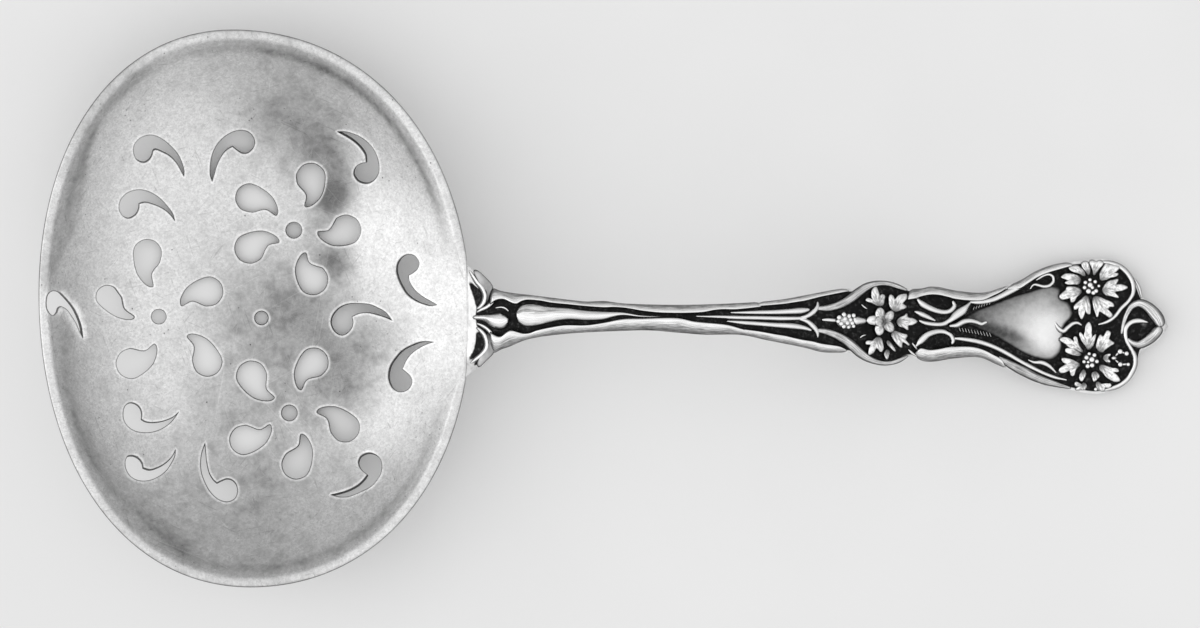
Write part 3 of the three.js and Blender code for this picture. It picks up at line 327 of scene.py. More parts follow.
def petalOutline(petal):
    head, radius, tip, hollow = petal
    head, tip = np.array(head), np.array(tip)
    reach = math.dist(head, tip)
    along = (tip - head) / reach
    across = np.array([-along[1], along[0]]) * (1 if hollow == "right" else -1)

    def at(forward, aside):
        return head + along * forward + across * aside * radius

    turns = [math.radians(degrees) for degrees in petalForm["rear"]]
    rear = [at(radius * math.cos(turn), math.sin(turn)) for turn in turns]
    nose = [at(reach * forward, aside) for forward, aside in petalForm["nose"]]
    return throughPoints(rear + nose, bowl["cutStep"], closed=True)


def dotOutline(dot):
    return circle(*dot)


def inside(points, polygon):
    # Even-odd test of many points against one closed outline
    x, y = points[:, 0], points[:, 1]
    crossed = np.zeros(len(points), bool)
    for (x1, y1), (x2, y2) in zip(polygon, np.roll(polygon, -1, axis=0)):
        if y1 == y2:
            continue
        spans = (y1 > y) != (y2 > y)
        crossed ^= spans & (x < (x2 - x1) * (y - y1) / (y2 - y1) + x1)
    return crossed


def nearTo(points, polygon, gap):
    close = np.zeros(len(points), bool)
    for p, q in zip(polygon, np.roll(polygon, -1, axis=0)):
        edge = q - p
        length = max(1e-9, float(edge @ edge))
        share = np.clip(((points - p) @ edge) / length, 0, 1)
        close |= np.hypot(*(points - p - share[:, None] * edge).T) < gap
    return close


def offset(polygon, distance):
    # Moves a closed outline outwards, away from what it encloses
    before, after = np.roll(polygon, 1, axis=0), np.roll(polygon, -1, axis=0)
    normal = np.column_stack([(after - before)[:, 1], -(after - before)[:, 0]])
    normal /= np.maximum(1e-9, np.hypot(*normal.T))[:, None]
    area = np.sum(polygon[:, 0] * after[:, 1] - after[:, 0] * polygon[:, 1])
    return polygon + normal * distance * np.sign(area)


# Meshes

def addObject(name, data):
    made = bpy.data.objects.new(name, data)
    bpy.context.scene.collection.objects.link(made)
    return made


def makePiece(name, parts, material, attributes):
    # Joins parts, each with its points in mm, its faces and one array for each attribute, in one mesh
    # that stands for the frame's node of the same name
    points, faces, start = [], [], 0
    columns = {key: [] for key in attributes}
    for part in parts:
        points.append(part["points"])
        faces += [tuple(i + start for i in face) for face in part["faces"]]
        for key in attributes:
            columns[key].append(part[key])
        start += len(part["points"])
    mesh = bpy.data.meshes.new(name + "_fine")
    mesh.from_pydata((np.vstack(points) * mm).tolist(), [], faces)
    for key, kind in attributes.items():
        layer = mesh.attributes.new(key, kind, "POINT")
        field = "value" if kind == "FLOAT" else "vector"
        layer.data.foreach_set(field, np.concatenate(columns[key]).astype(np.float32).ravel())
    tidyMesh(mesh)
    mesh.materials.append(material)
    piece = addObject(name + "_fine", mesh)
    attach(piece, "root")
    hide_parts(name)


def tidyMesh(mesh):
    # Merges the points that meet, drops the faces that closed up and turns all faces outwards
    work = bmesh.new()
    work.from_mesh(mesh)
    bmesh.ops.remove_doubles(work, verts=work.verts, dist=1e-7)
    bmesh.ops.dissolve_degenerate(work, edges=work.edges, dist=1e-8)
    bmesh.ops.recalc_face_normals(work, faces=work.faces)
    work.to_mesh(mesh)
    work.free()
    mesh.shade_smooth()


def gridFaces(rows, columns):
    # Rings of points, one row after the other
    faces = []
    for i in range(rows - 1):
        here, after = i * columns, (i + 1) * columns
        for j in range(columns):
            k = (j + 1) % columns
            faces.append((here + j, here + k, after + k, after + j))
    return faces


def domeFaces(rows, columns):
    # Rings of points that close over a peak, which comes after them, with a flat foot
    peak, last = rows * columns, (rows - 1) * columns
    faces = gridFaces(rows, columns)
    faces += [(last + j, last + (j + 1) % columns, peak) for j in range(columns)]
    return [*faces, tuple(range(columns))[::-1]]


def bowlFlatMesh(outlines):
    # Triangles of the bowl seen from above, without its piercings, and their points
    radius, step = bowl["edgeRadius"], bowl["meshStep"]
    rim = offset(rimLine, -bowl["rimRadius"])
    lipLines = [
        bowlCentre + rimSpokes * ((rimReach - inset) / rimReach)[:, None]
        for inset in bowl["lipLines"]
    ]
    cuts = [offset(outline, radius - bowl["closeIn"]) for outline in outlines]
    guards = [offset(outline, radius * bowl["guard"]) for outline in outlines]
    xs = np.arange(bowlLow.x, bowlHigh.x, step)
    ys = np.arange(bowlLow.y, bowlHigh.y, step * bowl["rowShare"])
    grid = np.array([(x + step / 2 * (j % 2), y) for j, y in enumerate(ys) for x in xs])
    grid = grid[inside(grid, lipLines[-1])]
    grid = grid[~nearTo(grid, lipLines[-1], step * 0.5)]
    for outline in guards:
        low, high = outline.min(0) - 1, outline.max(0) + 1
        close = np.all((grid > low) & (grid < high), axis=1)
        drop = np.zeros(len(grid), bool)
        drop[close] = inside(grid[close], outline) | nearTo(grid[close], outline, step * 0.4)
        grid = grid[~drop]
    # A guard line that would cross a neighbour's cut or the lip is left out
    loops = [rim, *lipLines]
    for k, outline in enumerate(guards):
        others = [cut for j, cut in enumerate(cuts) if j != k]
        crosses = any(inside(outline, other).any() for other in others)
        if not crosses and inside(outline, lipLines[-1]).all():
            loops.append(outline)
    points, edges = [], []
    for loop in [*loops, *cuts]:
        start = len(points)
        points += [Vector(p) for p in loop]
        edges += [(start + i, start + (i + 1) % len(loop)) for i in range(len(loop))]
    points += [Vector(p) for p in grid]
    flat, _, triangles, *_ = delaunay_2d_cdt(points, edges, [], 0, 1e-6)
    flat = np.array([tuple(p) for p in flat])
    triangles = np.array([tuple(t) for t in triangles])
    middles = flat[triangles].mean(axis=1)
    keep = inside(middles, rim)
    for cut in cuts:
        low, high = cut.min(0), cut.max(0)
        close = np.all((middles > low) & (middles < high), axis=1)
        keep[np.flatnonzero(close)[inside(middles[close], cut)]] = False
    used, triangles = np.unique(triangles[keep], return_inverse=True)
    return flat[used], triangles.reshape(-1, 3)


def boundaryOf(flat, triangles):
    # The open edges, and for each point on them the way out of the metal
    edges = np.vstack([triangles[:, [0, 1]], triangles[:, [1, 2]], triangles[:, [2, 0]]])
    keys = np.sort(edges, axis=1)
    _, first, counts = np.unique(keys, axis=0, return_index=True, return_counts=True)
    rim = edges[first[counts == 1]]
    outward = np.zeros_like(flat)
    for a, b in rim:
        along = flat[b] - flat[a]
        side = np.array([along[1], -along[0]]) / max(1e-9, math.hypot(*along))
        outward[a] += side
        outward[b] += side
    length = np.maximum(1e-9, np.hypot(*outward.T))
    return rim, outward / length[:, None]


def bowlPart():
    outlines = [*map(commaOutline, commas), *map(petalOutline, petals), *map(dotOutline, dots)]
    flat, triangles = bowlFlatMesh(outlines)
    turn = flat[triangles]
    area = np.cross(turn[:, 1] - turn[:, 0], turn[:, 2] - turn[:, 0])
    triangles[area < 0] = triangles[area < 0][:, ::-1]
    rim, outward = boundaryOf(flat, triangles)
    x, y = flat.T
    scale = bowl["dentScale"]
    dents = np.array([noise.noise(Vector((a * scale, b * scale, 0.3))) for a, b in flat]) * bowl["dents"]
    inner = np.column_stack([flat, bowlInside(x, y) + dents])
    lower = flat + slantAt(x, y)
    outer = np.column_stack([lower, np.maximum(0, bowlOutside(*lower.T))])
    # All edges are rounded, and the rim's less so at the neck, where the handle runs on from it
    onEdge = np.unique(rim)
    edgeCount, count = len(onEdge), len(flat)
    lip = lipAt(x, y)[onEdge]
    atRim = (rimDistance(x, y) < bowl["rimBand"])[onEdge]
    thin, run = bowl["neckRimShare"], bowl["neckRimLip"]
    rimSize = bowl["rimRadius"] * (thin + (1 - thin) * np.clip((lip - bowl["neckLip"]) / run, 0, 1))
    size = np.where(atRim, rimSize, bowl["edgeRadius"])
    turns = [math.radians(degrees) for degrees in bowl["edgeTurns"]]
    rings = []
    for level, sign, angles in ((inner, -1, turns), (outer, 1, turns[::-1])):
        for angle in angles:
            out = level[onEdge, :2] + outward[onEdge] * size[:, None] * math.sin(angle)
            height = level[onEdge, 2] + sign * size * (1 - math.cos(angle))
            rings.append(np.column_stack([out, height]))
    ringSpots = [2 * count + k * edgeCount + np.arange(edgeCount) for k in range(len(rings))]
    rows = [onEdge, *ringSpots, onEdge + count]
    faces = [tuple(t) for t in triangles.tolist()]
    faces += [tuple(i + count for i in reversed(t)) for t in triangles.tolist()]
    lookup = np.full(count, -1)
    lookup[onEdge] = np.arange(edgeCount)
    for a, b in lookup[rim]:
        for above, below in zip(rows, rows[1:]):
            faces.append(tuple(int(i) for i in (above[b], above[a], below[a], below[b])))
    points = np.vstack([inner, outer, *rings])
    # The corners of the cuts are brightened, a painted highlight; the cut faces are darkened with dirt and
    # painted shade, and the rim's outer side is darker too, but for the neck
    tarnishAndShade = tarnishAndShadeAt(points)
    rubbedAndHighlit = tarnishAndShade[onEdge] * wearAndShade["cornerShare"] - wearAndShade["cornerHighlight"]
    tarnishAndShade[onEdge] = np.where(atRim, tarnishAndShade[onEdge], rubbedAndHighlit)
    rimDarkening = wearAndShade["rimDarkening"] * ramp(lip, *wearAndShade["rimDarkeningLip"])
    for k, (spots, dirtAndShade) in enumerate(zip(ringSpots, wearAndShade["cutDirtAndShade"])):
        tarnishAndShade[spots] += np.where(atRim, rimDarkening * (k > 0), dirtAndShade)
    return {"points": points, "faces": faces, "tarnishAndShade": tarnishAndShade}


# The bowl's wear and painted shade. Each ring of a cut's side, from the top down, has its dirt and
# painted shade. A band under the lip is painted dark, a painted reflection of the concave wall, most of
# all at the right: how far in it lies, its width, its strengths, where it grows and how far from the
# neck's middle it starts.

wearAndShade = {
    "cutDirtAndShade": (0.2, 0.7, 1.3, 1.6, 1.6, 1.6),
    "rimDarkening": 0.7,
    "rimDarkeningLip": (0.3, 0.9),
    "cornerShare": 0.4,
    "cornerHighlight": 0.2,
    "creaseInset": 2.1,
    "creaseWidth": 0.44,
    "creaseDarkReflection": 1.15,
    "creaseLeft": 0.15,
    "creaseUpperRight": 0.35,
    "creaseLowerRight": 0.1,
    "creaseGrows": (-42, -28),
    "creaseNeck": (6, 14),
    "most": 0.95,
    "foldStep": 0.8,
    "foldSoftness": 0.5,
}

# Dark blotches in the bowl, partly tarnish and partly painted shade and painted reflection: centre, reach
# and share of darkening
blotches = [
    ((-30, 12.4), 2, 0.5), ((-29.3, 14.6), 1.9, 0.3), ((-31.6, 16.4), 3.4, 0.3), ((-29.9, 5.2), 1.9, 0.5),
    ((-31, 18.2), 3, 0.22), ((-40, 27.5), 6.5, 0.18), ((-30.4, 12.3), 1.5, 0.4), ((-40, 17), 4.5, 0.12),
    ((-44, 9), 3.5, 0.05), ((-38.5, 2), 9, 0.1), ((-32, 24), 6, 0.15), ((-26, -8.5), 3.6, 0.2),
    ((-38, -10), 12, 0.08), ((-35, 21), 5, 0.24), ((-31.2, 9), 3, 0.2), ((-38, -2), 7.5, 0.2),
    ((-29, -4.5), 4.6, 0.25), ((-38.5, -14), 8, 0.12), ((-33, 0.5), 5.5, 0.2), ((-42, -24), 10, 0.12),
    ((-29.6, -8.5), 4, 0.2), ((-36, -27.5), 5, 0.15), ((-24.5, -3), 3.2, 0.2), ((-28, -19), 6, 0.12),
    ((-35.5, 1), 8, 0.14), ((-37, -16), 9, 0.18), ((-33.5, 18), 7, 0.12), ((-46, -22), 9, 0.16),
]

# Soft folds of the sheet, each a line with the rim on its right, shown only by painted shade on one side.
# The shaded side is the rim's (1) or the other one (-1).
folds = [
    {"line": [(-50.9, 25.5), (-54.7, 22.0), (-56.4, 18.7), (-57.5, 12.9), (-58.9, 8.0), (-60.6, 4.3)],
     "side": 1, "strength": 0.32, "reach": 2.8},
    {"line": [(-60.3, -3.0), (-59.6, -9.0), (-57.6, -15.5), (-54.7, -19.9), (-51.0, -23.6), (-47.4, -26.8)],
     "side": -1, "strength": 0.3, "reach": 1.7},
]


def foldShade(points, fold):
    line = throughPoints(fold["line"], wearAndShade["foldStep"])
    nearest = np.full(len(points), 1e9)
    outwards = np.zeros(len(points))
    for a, b in zip(line, line[1:]):
        along = (b - a) / math.dist(a, b)
        share = np.clip((points[:, :2] - a) @ along, 0, math.dist(a, b))
        away = points[:, :2] - a - share[:, None] * along
        distance = np.hypot(*away.T)
        closer = distance < nearest
        nearest[closer] = distance[closer]
        outwards[closer] = (away[:, 0] * along[1] - away[:, 1] * along[0])[closer]
    edge = np.clip(fold["side"] * outwards / wearAndShade["foldSoftness"] + 0.5, 0, 1)
    return fold["strength"] * edge * np.exp(-(nearest / fold["reach"]) ** 2)


def tarnishAndShadeAt(points):
    x, y = points[:, 0], points[:, 1]
    total = np.zeros(len(points))
    # Blotches of tarnish, painted shade and painted reflection
    for (spotX, spotY), reach, share in blotches:
        total += share * np.exp(-((x - spotX) ** 2 + (y - spotY) ** 2) / reach ** 2)
    # Painted reflection: a dark band under the lip, strongest at the right and fading out at the neck
    right = np.where(y > 0, wearAndShade["creaseUpperRight"], wearAndShade["creaseLowerRight"])
    strength = wearAndShade["creaseLeft"] + right * ramp(x, *wearAndShade["creaseGrows"])
    across = np.exp(-((rimDistance(x, y) - wearAndShade["creaseInset"]) / wearAndShade["creaseWidth"]) ** 2)
    awayFromNeck = ramp(np.abs(y - bowl["neck"][1]), *wearAndShade["creaseNeck"])
    total += wearAndShade["creaseDarkReflection"] * strength * across * awayFromNeck
    # Painted shade along one side of each fold
    for fold in folds:
        total += foldShade(points, fold)
    return np.minimum(total, wearAndShade["most"])


# Handle: the arch of its spine, its blank and its blackened ground

handle = {
    "archX": 9.0,
    "settleX": 56.0,
    "neckLap": 0.7,
    "neckStep": 0.8,
    "neckEase": (0.75, 4.0),
    "neckRun": 3.0,
    "neckEnd": -12,
    "neckMiddle": -0.95,
    "arch": blankHigh.z,
    "blank": 1.75,
    "blankEdge": 0.5,
    "bellyShare": 0.6,
    "bellyCurve": 1.6,
    "crown": 0.4,
    "crownReach": 1.2,
    "crownRun": 5,
    "tipX": blankHigh.x,
    "stationStep": 0.15,
    "topPoints": 65,
    "underPoints": 13,
    "underReach": 0.95,
    "groundMargin": (0.2, 0.5),
    "groundEnd": (61.9, 61.4),
    "softness": 0.24,
    "softSpots": 12,
    "cornerDirt": 0.3,
    "cornerFrom": (3.4, 5.0),
    "cornerStart": (-13, -13.6),
}

# Where the ground is rubbed, beside the shield's narrow end and in the finial: centre, reach and share
rubbedGround = [((41.3, -1.3), (1.7, 1.9), 0.5), ((59.9, -1.5), (1.3, 1.2), 0.56)]

# Where the ground is dark at the neck: a hollow behind each curl, and from this x on at each distance
# from the middle of the neck
neckHollows = [
    [(-15, 3.1), (-14.28, 2.45), (-13.6, 1.9), (-13.35, 1.17), (-13.6, 0.5), (-14.06, 0.12),
     (-14.28, 0.72), (-14.42, 1.39), (-14.72, 2.17)],
    [(-14.12, -2.5), (-13.65, -2.75), (-13.2, -3.5), (-13.25, -4.3), (-13.7, -5), (-14.4, -5.45),
     (-15, -5.75), (-14.4, -4.6), (-14.15, -3.5)],
]
neckDark = [(0, -14.2), (0.9, -14.1), (2.3, -13.05), (3.9, -13.9), (6, -14.5)]

upperEdge = [
    (-17, 6.6), (-15.4, 5.2), (-14.4, 4.3), (-13.3, 3.4), (-12, 2.15), (-10.5, 1.75), (-8, 1.45),
    (-4, 0.95), (-2, 0.75), (0, 0.8), (2, 0.55), (8, 0.38), (14, 0.54), (18, 0.8), (20, 1.05), (22, 1.42),
    (24, 1.8), (26, 2.15), (28.5, 2.3), (29.3, 2.85), (31, 3), (32, 2.9), (33.8, 2.2), (35, 2.2),
    (36, 2.4), (37, 2.35), (39, 1.95), (42, 1.75), (44, 2.3), (46, 3.05), (48, 4.2), (50, 4.9), (53, 5.3),
    (55, 5.5), (56.5, 5.2), (57.5, 4.8), (58.3, 3.9), (58.9, 2.9), (59.6, 1.3), (60.3, 0.9), (61, 0.3),
    (61.7, -0.4), (62.2, -1.2), (62.5, -1.9),
]
lowerEdge = [
    (-17, -9.6), (-15.2, -7.9), (-14.3, -6.9), (-13, -5.7), (-11.6, -4.6), (-10.5, -4.2), (-8.5, -3.4),
    (-4.5, -2.8), (2, -2.45), (5, -2.4), (8, -2.64), (11, -2.87), (15, -2.9), (18, -3.5), (22, -4.3),
    (24, -4.8), (27.3, -5), (29, -5.9), (31, -6.35), (33.7, -5.4), (35.5, -5.85), (36.5, -5.85),
    (38.5, -5.55), (41.5, -5.4), (43.5, -6.2), (46, -7.35), (48, -8.3), (50, -8.75), (52, -9.1),
    (54.5, -9.5), (56.7, -9), (57.7, -8.5), (58.6, -7.8), (59, -6.8), (59.2, -5.8), (59.4, -4.9),
    (60, -4.5), (60.8, -4), (61.6, -3.4), (62.2, -2.7), (62.5, -1.9),
]


def edgeLine(points):
    line = throughPoints(points, 0.2)
    return line[np.argsort(line[:, 0], kind="stable")]


upperLine, lowerLine = edgeLine(upperEdge), edgeLine(lowerEdge)


def upperAt(x):
    return np.interp(x, upperLine[:, 0], upperLine[:, 1])


def lowerAt(x):
    return np.interp(x, lowerLine[:, 0], lowerLine[:, 1])


def spineAt(x):
    neckX, neckTop = bowl["neck"][0], bowl["rim"] + handle["neckStep"]
    arch, blank = handle["arch"], handle["blank"]
    rise = neckTop + (arch - neckTop) * np.sin((x - neckX) / (handle["archX"] - neckX) * math.pi / 2)
    share = np.clip((x - handle["archX"]) / (handle["settleX"] - handle["archX"]), 0, 1)
    fall = blank + (arch - blank) * (0.5 + 0.5 * np.cos(share * math.pi))
    drop, run = handle["neckEase"]
    rise = rise - drop * (1 - np.minimum((x - neckX) / run, 1)) ** 2
    return np.where(x < handle["archX"], rise, fall)


def topAt(x, y):
    upper, lower = upperAt(x), lowerAt(x)
    half = np.maximum(0.2, (upper - lower) / 2)
    aside = np.clip((y - (upper + lower) / 2) / half, -handle["crownReach"], handle["crownReach"])
    grown = np.clip((x - bowl["neck"][0]) / handle["crownRun"], 0, 1)
    return spineAt(x) - handle["crown"] * aside ** 2 * grown


def neckGround(x, y):
    # How dark the ground is at the neck, evened out over a small circle
    away, starts = np.array(neckDark).T
    total = np.zeros(len(x))
    count = handle["softSpots"]
    for k, angle in enumerate(np.arange(count) * math.pi / (count / 2)):
        reach = handle["softness"] * (1 if k % 2 else 0.5)
        spots = np.column_stack([x + reach * math.cos(angle), y + reach * math.sin(angle)])
        dark = spots[:, 0] > np.interp(np.abs(spots[:, 1] - handle["neckMiddle"]), away, starts)
        for outline in neckHollows:
            dark |= inside(spots, np.array(outline))
        total += dark / count
    return total


def groundAt(x, y, stationX, high, low):
    # The ground is bare along the edges and at the tip, and at the neck but for a dark hollow behind
    # each curl, where the neck's corners are a little dirty
    dark = ramp(np.minimum(high - y, y - low), *handle["groundMargin"]) * ramp(x, *handle["groundEnd"])
    for centre, reach, share in rubbedGround:
        dark = dark * (1 - share * patch(x, y, centre, reach))
    if x < handle["neckEnd"]:
        corner = ramp(np.abs(y - handle["neckMiddle"]), *handle["cornerFrom"])
        corner = corner * ramp(stationX, *handle["cornerStart"])
        dark = np.maximum(dark * neckGround(stationX, y), handle["cornerDirt"] * corner)
    return dark


def blankPart():
    startX, tipX = bowl["neck"][0] - handle["neckLap"], handle["tipX"]
    xs = np.append(np.arange(startX, tipX - 0.06, handle["stationStep"]), tipX - 0.02)
    topShares = np.cos(np.linspace(0, math.pi, handle["topPoints"]))
    underShares = np.linspace(-handle["underReach"], handle["underReach"], handle["underPoints"])
    rows, ground = [], []
    for x, high, low in zip(xs, upperAt(xs), lowerAt(xs)):
        middle, half = (high + low) / 2, max(0.03, (high - low) / 2)
        y = middle + topShares * half
        # The neck end follows the bowl's rim
        pull = max(0.0, 1 - (x - startX) / handle["neckRun"])
        rimX = bowlCentre[0] + np.sqrt(np.maximum(1, rimRadiusAt(0 * y + bowl["neck"][0], y) ** 2 - y ** 2))
        stationX = x + (rimX - handle["neckLap"] - startX) * pull
        spine = float(spineAt(np.array(x)))
        edge = spine - handle["crown"] - handle["blankEdge"]
        under = max(0.0, spine - handle["blank"])
        side = ramp(np.abs(underShares), handle["bellyShare"], 1)
        belly = under + (edge - under) * side ** handle["bellyCurve"]
        rows.append(np.vstack([
            np.column_stack([stationX, y, topAt(np.full_like(y, x), y)]),
            [(stationX[-1], low, edge + 0.1)],
            [(x + (stationX[0] - x) * 0.9, middle + s * half, z) for s, z in zip(underShares, belly)],
            [(stationX[0], high, edge + 0.1)],
        ]))
        ground.append(np.pad(groundAt(x, y, stationX, high, low), (0, len(rows[-1]) - len(y))))
    columns = len(rows[0])
    points = np.vstack(rows)
    faces = gridFaces(len(rows), columns)
    faces += [tuple((len(rows) - 1) * columns + j for j in range(columns))]
    # The curved neck end is closed with a row of triangles from its top to its underside
    top, under = 0, columns - 1
    while under - top > 1:
        if points[top + 1, 1] > points[under - 1, 1]:
            faces.append((top + 1, top, under))
            top += 1
        else:
            faces.append((under - 1, top, under))
            under -= 1
    return {"points": points, "faces": faces, "ground": np.concatenate(ground)}


# Relief: how far each kind of piece stands up, its section and its mesh. The word after a piece's name
# below says which of these heights it has.

relief = {
    "strapRise": 0.85,
    "stemRise": 0.6,
    "vineRise": 0.45,
    "shieldRise": 0.75,
    "petalRise": 0.62,
    "heartRise": 0.65,
    "flareRise": 0.3,
    "bossRise": 0.3,
    "budRise": 0.5,
    "tickRise": 0.12,
    "overShield": 0.32,
    "edge": 0.06,
    "sink": 0.25,
    "step": 0.16,
    "petalStep": 0.09,
    "across": 16,
    "steepest": 0.5,
    "groove": 0.3,
    "grooveWidth": 0.13,
    "strapCrest": 0.84,
    "strapEnd": 0.9,
    "strapSide": 0.42,
    "strapOver": 0.02,
    "thinnestStrap": 0.12,
    "thinnestHalf": 0.05,
    "shortestEnd": 0.1,
    "vineWiden": 1.15,
    "neckWiden": 0.13,
    "beadGrowth": 1.2,
    "shine": 1.55,
}


def bandPart(left, right, rise, crest=0.5, groove=0.0, base=0.0, full=0.75, outer=0.0):
    # A band between a left and a right line, round across, with its crest at a share of the way
    share = 0.5 - 0.5 * np.cos(np.linspace(0, math.pi, relief["across"] + 1))
    climb = np.where(share < crest, share / crest, (1 - share) / (1 - crest))
    profile = np.sin(np.clip(climb, 0, 1) * math.pi / 2) ** full
    profile = profile - groove * np.exp(-((share - crest) / relief["grooveWidth"]) ** 2)
    height = np.minimum(rise, np.hypot(*(right - left).T) * relief["steepest"])
    xy = left[:, None] * (1 - share)[None, :, None] + right[:, None] * share[None, :, None]
    z = topAt(xy[..., 0], xy[..., 1]) + base + relief["edge"] + height[:, None] * profile
    foot = np.concatenate([xy[:, :1], xy[:, -1:]], axis=1)
    footZ = topAt(foot[..., 0], foot[..., 1]) - relief["sink"]
    leftFoot, rightFoot = (np.dstack([foot[:, k:k + 1], footZ[:, k:k + 1]]) for k in (0, 1))
    rings = np.concatenate([leftFoot, np.dstack([xy, z]), rightFoot], axis=1)
    rows, columns = rings.shape[:2]
    # A strap's slope out to the silhouette is half bare of dirt
    shine = np.clip(profile * relief["shine"], 0, 1)
    outside = share < crest if crest > 0.5 else share > crest
    lift = np.zeros((rows, columns))
    lift[:, 1:-1] = np.where(outside, outer + (shine - outer) * profile ** 4, shine) if outer else shine
    lift[:, 0 if crest > 0.5 else -1] = outer
    flow = np.zeros((rows, columns, 3))
    flow[..., 0] = lengthAlong((left + right) / 2)[:, None]
    flow[:, 1:-1, 1] = share
    flow[:, -1, 1] = 1
    faces = gridFaces(rows, columns)
    faces += [tuple(range(columns)), tuple((rows - 1) * columns + j for j in range(columns))[::-1]]
    return {
        "points": rings.reshape(-1, 3),
        "faces": faces,
        "lift": lift.ravel(),
        "flow": flow.reshape(-1, 3),
    }


def roundedEnds(line, reach):
    # 0 at both ends of a line, 1 from the reach on, and round between
    along = lengthAlong(line)
    share = np.clip(np.minimum(along, along[-1] - along) / reach, 0, 1)
    return np.sqrt(share * (2 - share))


def ribbonPart(points, rise, **form):
    line = throughPoints(points, relief["step"])
    heading = (np.vstack([line[1:], line[-1:]]) - np.vstack([line[:1], line[:-1]]))[:, :2]
    heading /= np.maximum(1e-9, np.hypot(*heading.T))[:, None]
    normal = np.column_stack([-heading[:, 1], heading[:, 0]])
    # Both ends are rounded off over the width that they have there
    half = np.maximum(relief["thinnestHalf"], line[:, 2])
    half = (half * roundedEnds(line, np.maximum(relief["shortestEnd"], half)))[:, None]
    return bandPart(line[:, :2] + normal * half, line[:, :2] - normal * half, rise, **form)


def strapPart(innerPoints, side, rise):
    # A strap fills the room between its inner line and the edge of the handle
    inner = throughPoints(innerPoints, relief["step"])
    xs, crest = inner[:, 0], relief["strapCrest"]
    edgeY = (upperAt(xs) if side > 0 else lowerAt(xs)) + side * relief["strapOver"]
    gap = np.maximum(relief["thinnestStrap"], side * (edgeY - inner[:, 1]))
    outer = np.column_stack([xs, inner[:, 1] + side * gap * roundedEnds(inner, relief["strapEnd"])])
    if side > 0:
        return bandPart(outer, inner, rise, crest=crest, outer=relief["strapSide"])
    return bandPart(inner, outer, rise, crest=1 - crest, outer=relief["strapSide"])


# A petal's rings from its outline in, as shares of the way, and how it is low and dirty towards its
# root: each time the share that it has at the root, and how far from the root it is full. Its strands
# run out from the root, and are so long and so wide.

blossomPetal = {
    "rings": (1.0, 0.985, 0.95, 0.9, 0.82, 0.7, 0.5, 0.25),
    "shine": 1.5,
    "rootHeight": (0.55, 0.7),
    "rootShine": (0.3, 1.05),
    "lobeDrop": 0.55,
    "middleShine": 0.55,
    "lobeDirt": 0.35,
    "strands": (3, 0.35),
}


def petalPart(outline, rise, cup=0.26, root=None, edge=7.0):
    # A petal is a pad over its outline, a little hollow in the middle, low and dirty at its root
    loop = offset(throughPoints(outline, relief["petalStep"], closed=True), relief["petalStep"])
    root = np.array(outline[0] if root is None else root, float)
    centre = root * 0.5 + loop.mean(axis=0) * 0.5
    reach = np.hypot(*(loop - centre).T)
    lobe = np.clip(reach / reach.max(), 0, 1)
    rows = [np.column_stack([loop, topAt(*loop.T) - relief["sink"]])]
    lifts = [np.zeros(len(loop))]
    (lowest, risen), (dullest, clear) = blossomPetal["rootHeight"], blossomPetal["rootShine"]
    middleShine = blossomPetal["middleShine"]
    for share in blossomPetal["rings"]:
        spots = centre + (loop - centre) * share
        fromRoot = np.hypot(*(spots - root).T)
        climb = (1 - cup + cup * share ** 2) * math.sqrt(max(0.0, 1 - share ** edge))
        grow = lowest + (1 - lowest) * np.clip(fromRoot / risen, 0, 1)
        grow = grow * (1 - blossomPetal["lobeDrop"] * share ** 2 * (1 - lobe))
        rows.append(np.column_stack([spots, topAt(*spots.T) + relief["edge"] + rise * climb * grow]))
        clean = dullest + (1 - dullest) * np.clip(fromRoot / clear, 0, 1)
        clean = clean * (middleShine + (1 - middleShine) * share)
        clean = clean * (1 - blossomPetal["lobeDirt"] * share * (1 - lobe))
        lifts.append(np.clip(climb * blossomPetal["shine"], 0, 1) * clean)
    top = float(topAt(*centre)) + relief["edge"] + rise * (1 - cup)
    points = np.vstack([*rows, [(*centre, top)]])
    flow = np.zeros((len(points), 3))
    long, wide = blossomPetal["strands"]
    flow[:, 0] = np.hypot(*(points[:, :2] - root).T) * long
    flow[:, 1] = np.arctan2(points[:, 1] - root[1], points[:, 0] - root[0]) * wide
    lift = np.append(np.concatenate(lifts), lifts[-1].mean())
    return {"points": points, "faces": domeFaces(len(rows), len(loop)), "lift": lift, "flow": flow}


def padPart(outline, rise, rings, power=2.0, edge=0.14):
    # A smooth pad over its outline, highest in the middle
    centre = outline.mean(axis=0)
    rows = [np.column_stack([outline, topAt(*outline.T) - relief["sink"]])]
    lifts = [np.zeros(len(outline))]
    for share in np.sin(np.linspace(0, math.pi / 2, rings + 1))[:0:-1]:
        spots = centre + (outline - centre) * share
        climb = 1 - share ** power
        rows.append(np.column_stack([spots, topAt(*spots.T) + relief["edge"] + rise * climb]))
        lifts.append(np.full(len(outline), 0.6 * min(1, (1 - share) / edge) + 0.4 * climb))
    points = np.vstack([*rows, [(*centre, float(topAt(*centre)) + relief["edge"] + rise)]])
    flow = np.zeros((len(points), 3))
    flow[:, :2] = points[:, :2] * (1, 0.15)
    lift = np.append(np.concatenate(lifts), 1.0)
    return {"points": points, "faces": domeFaces(len(rows), len(outline)), "lift": lift, "flow": flow}


# Relief pieces along the handle. A ribbon's points are x, y and half width.

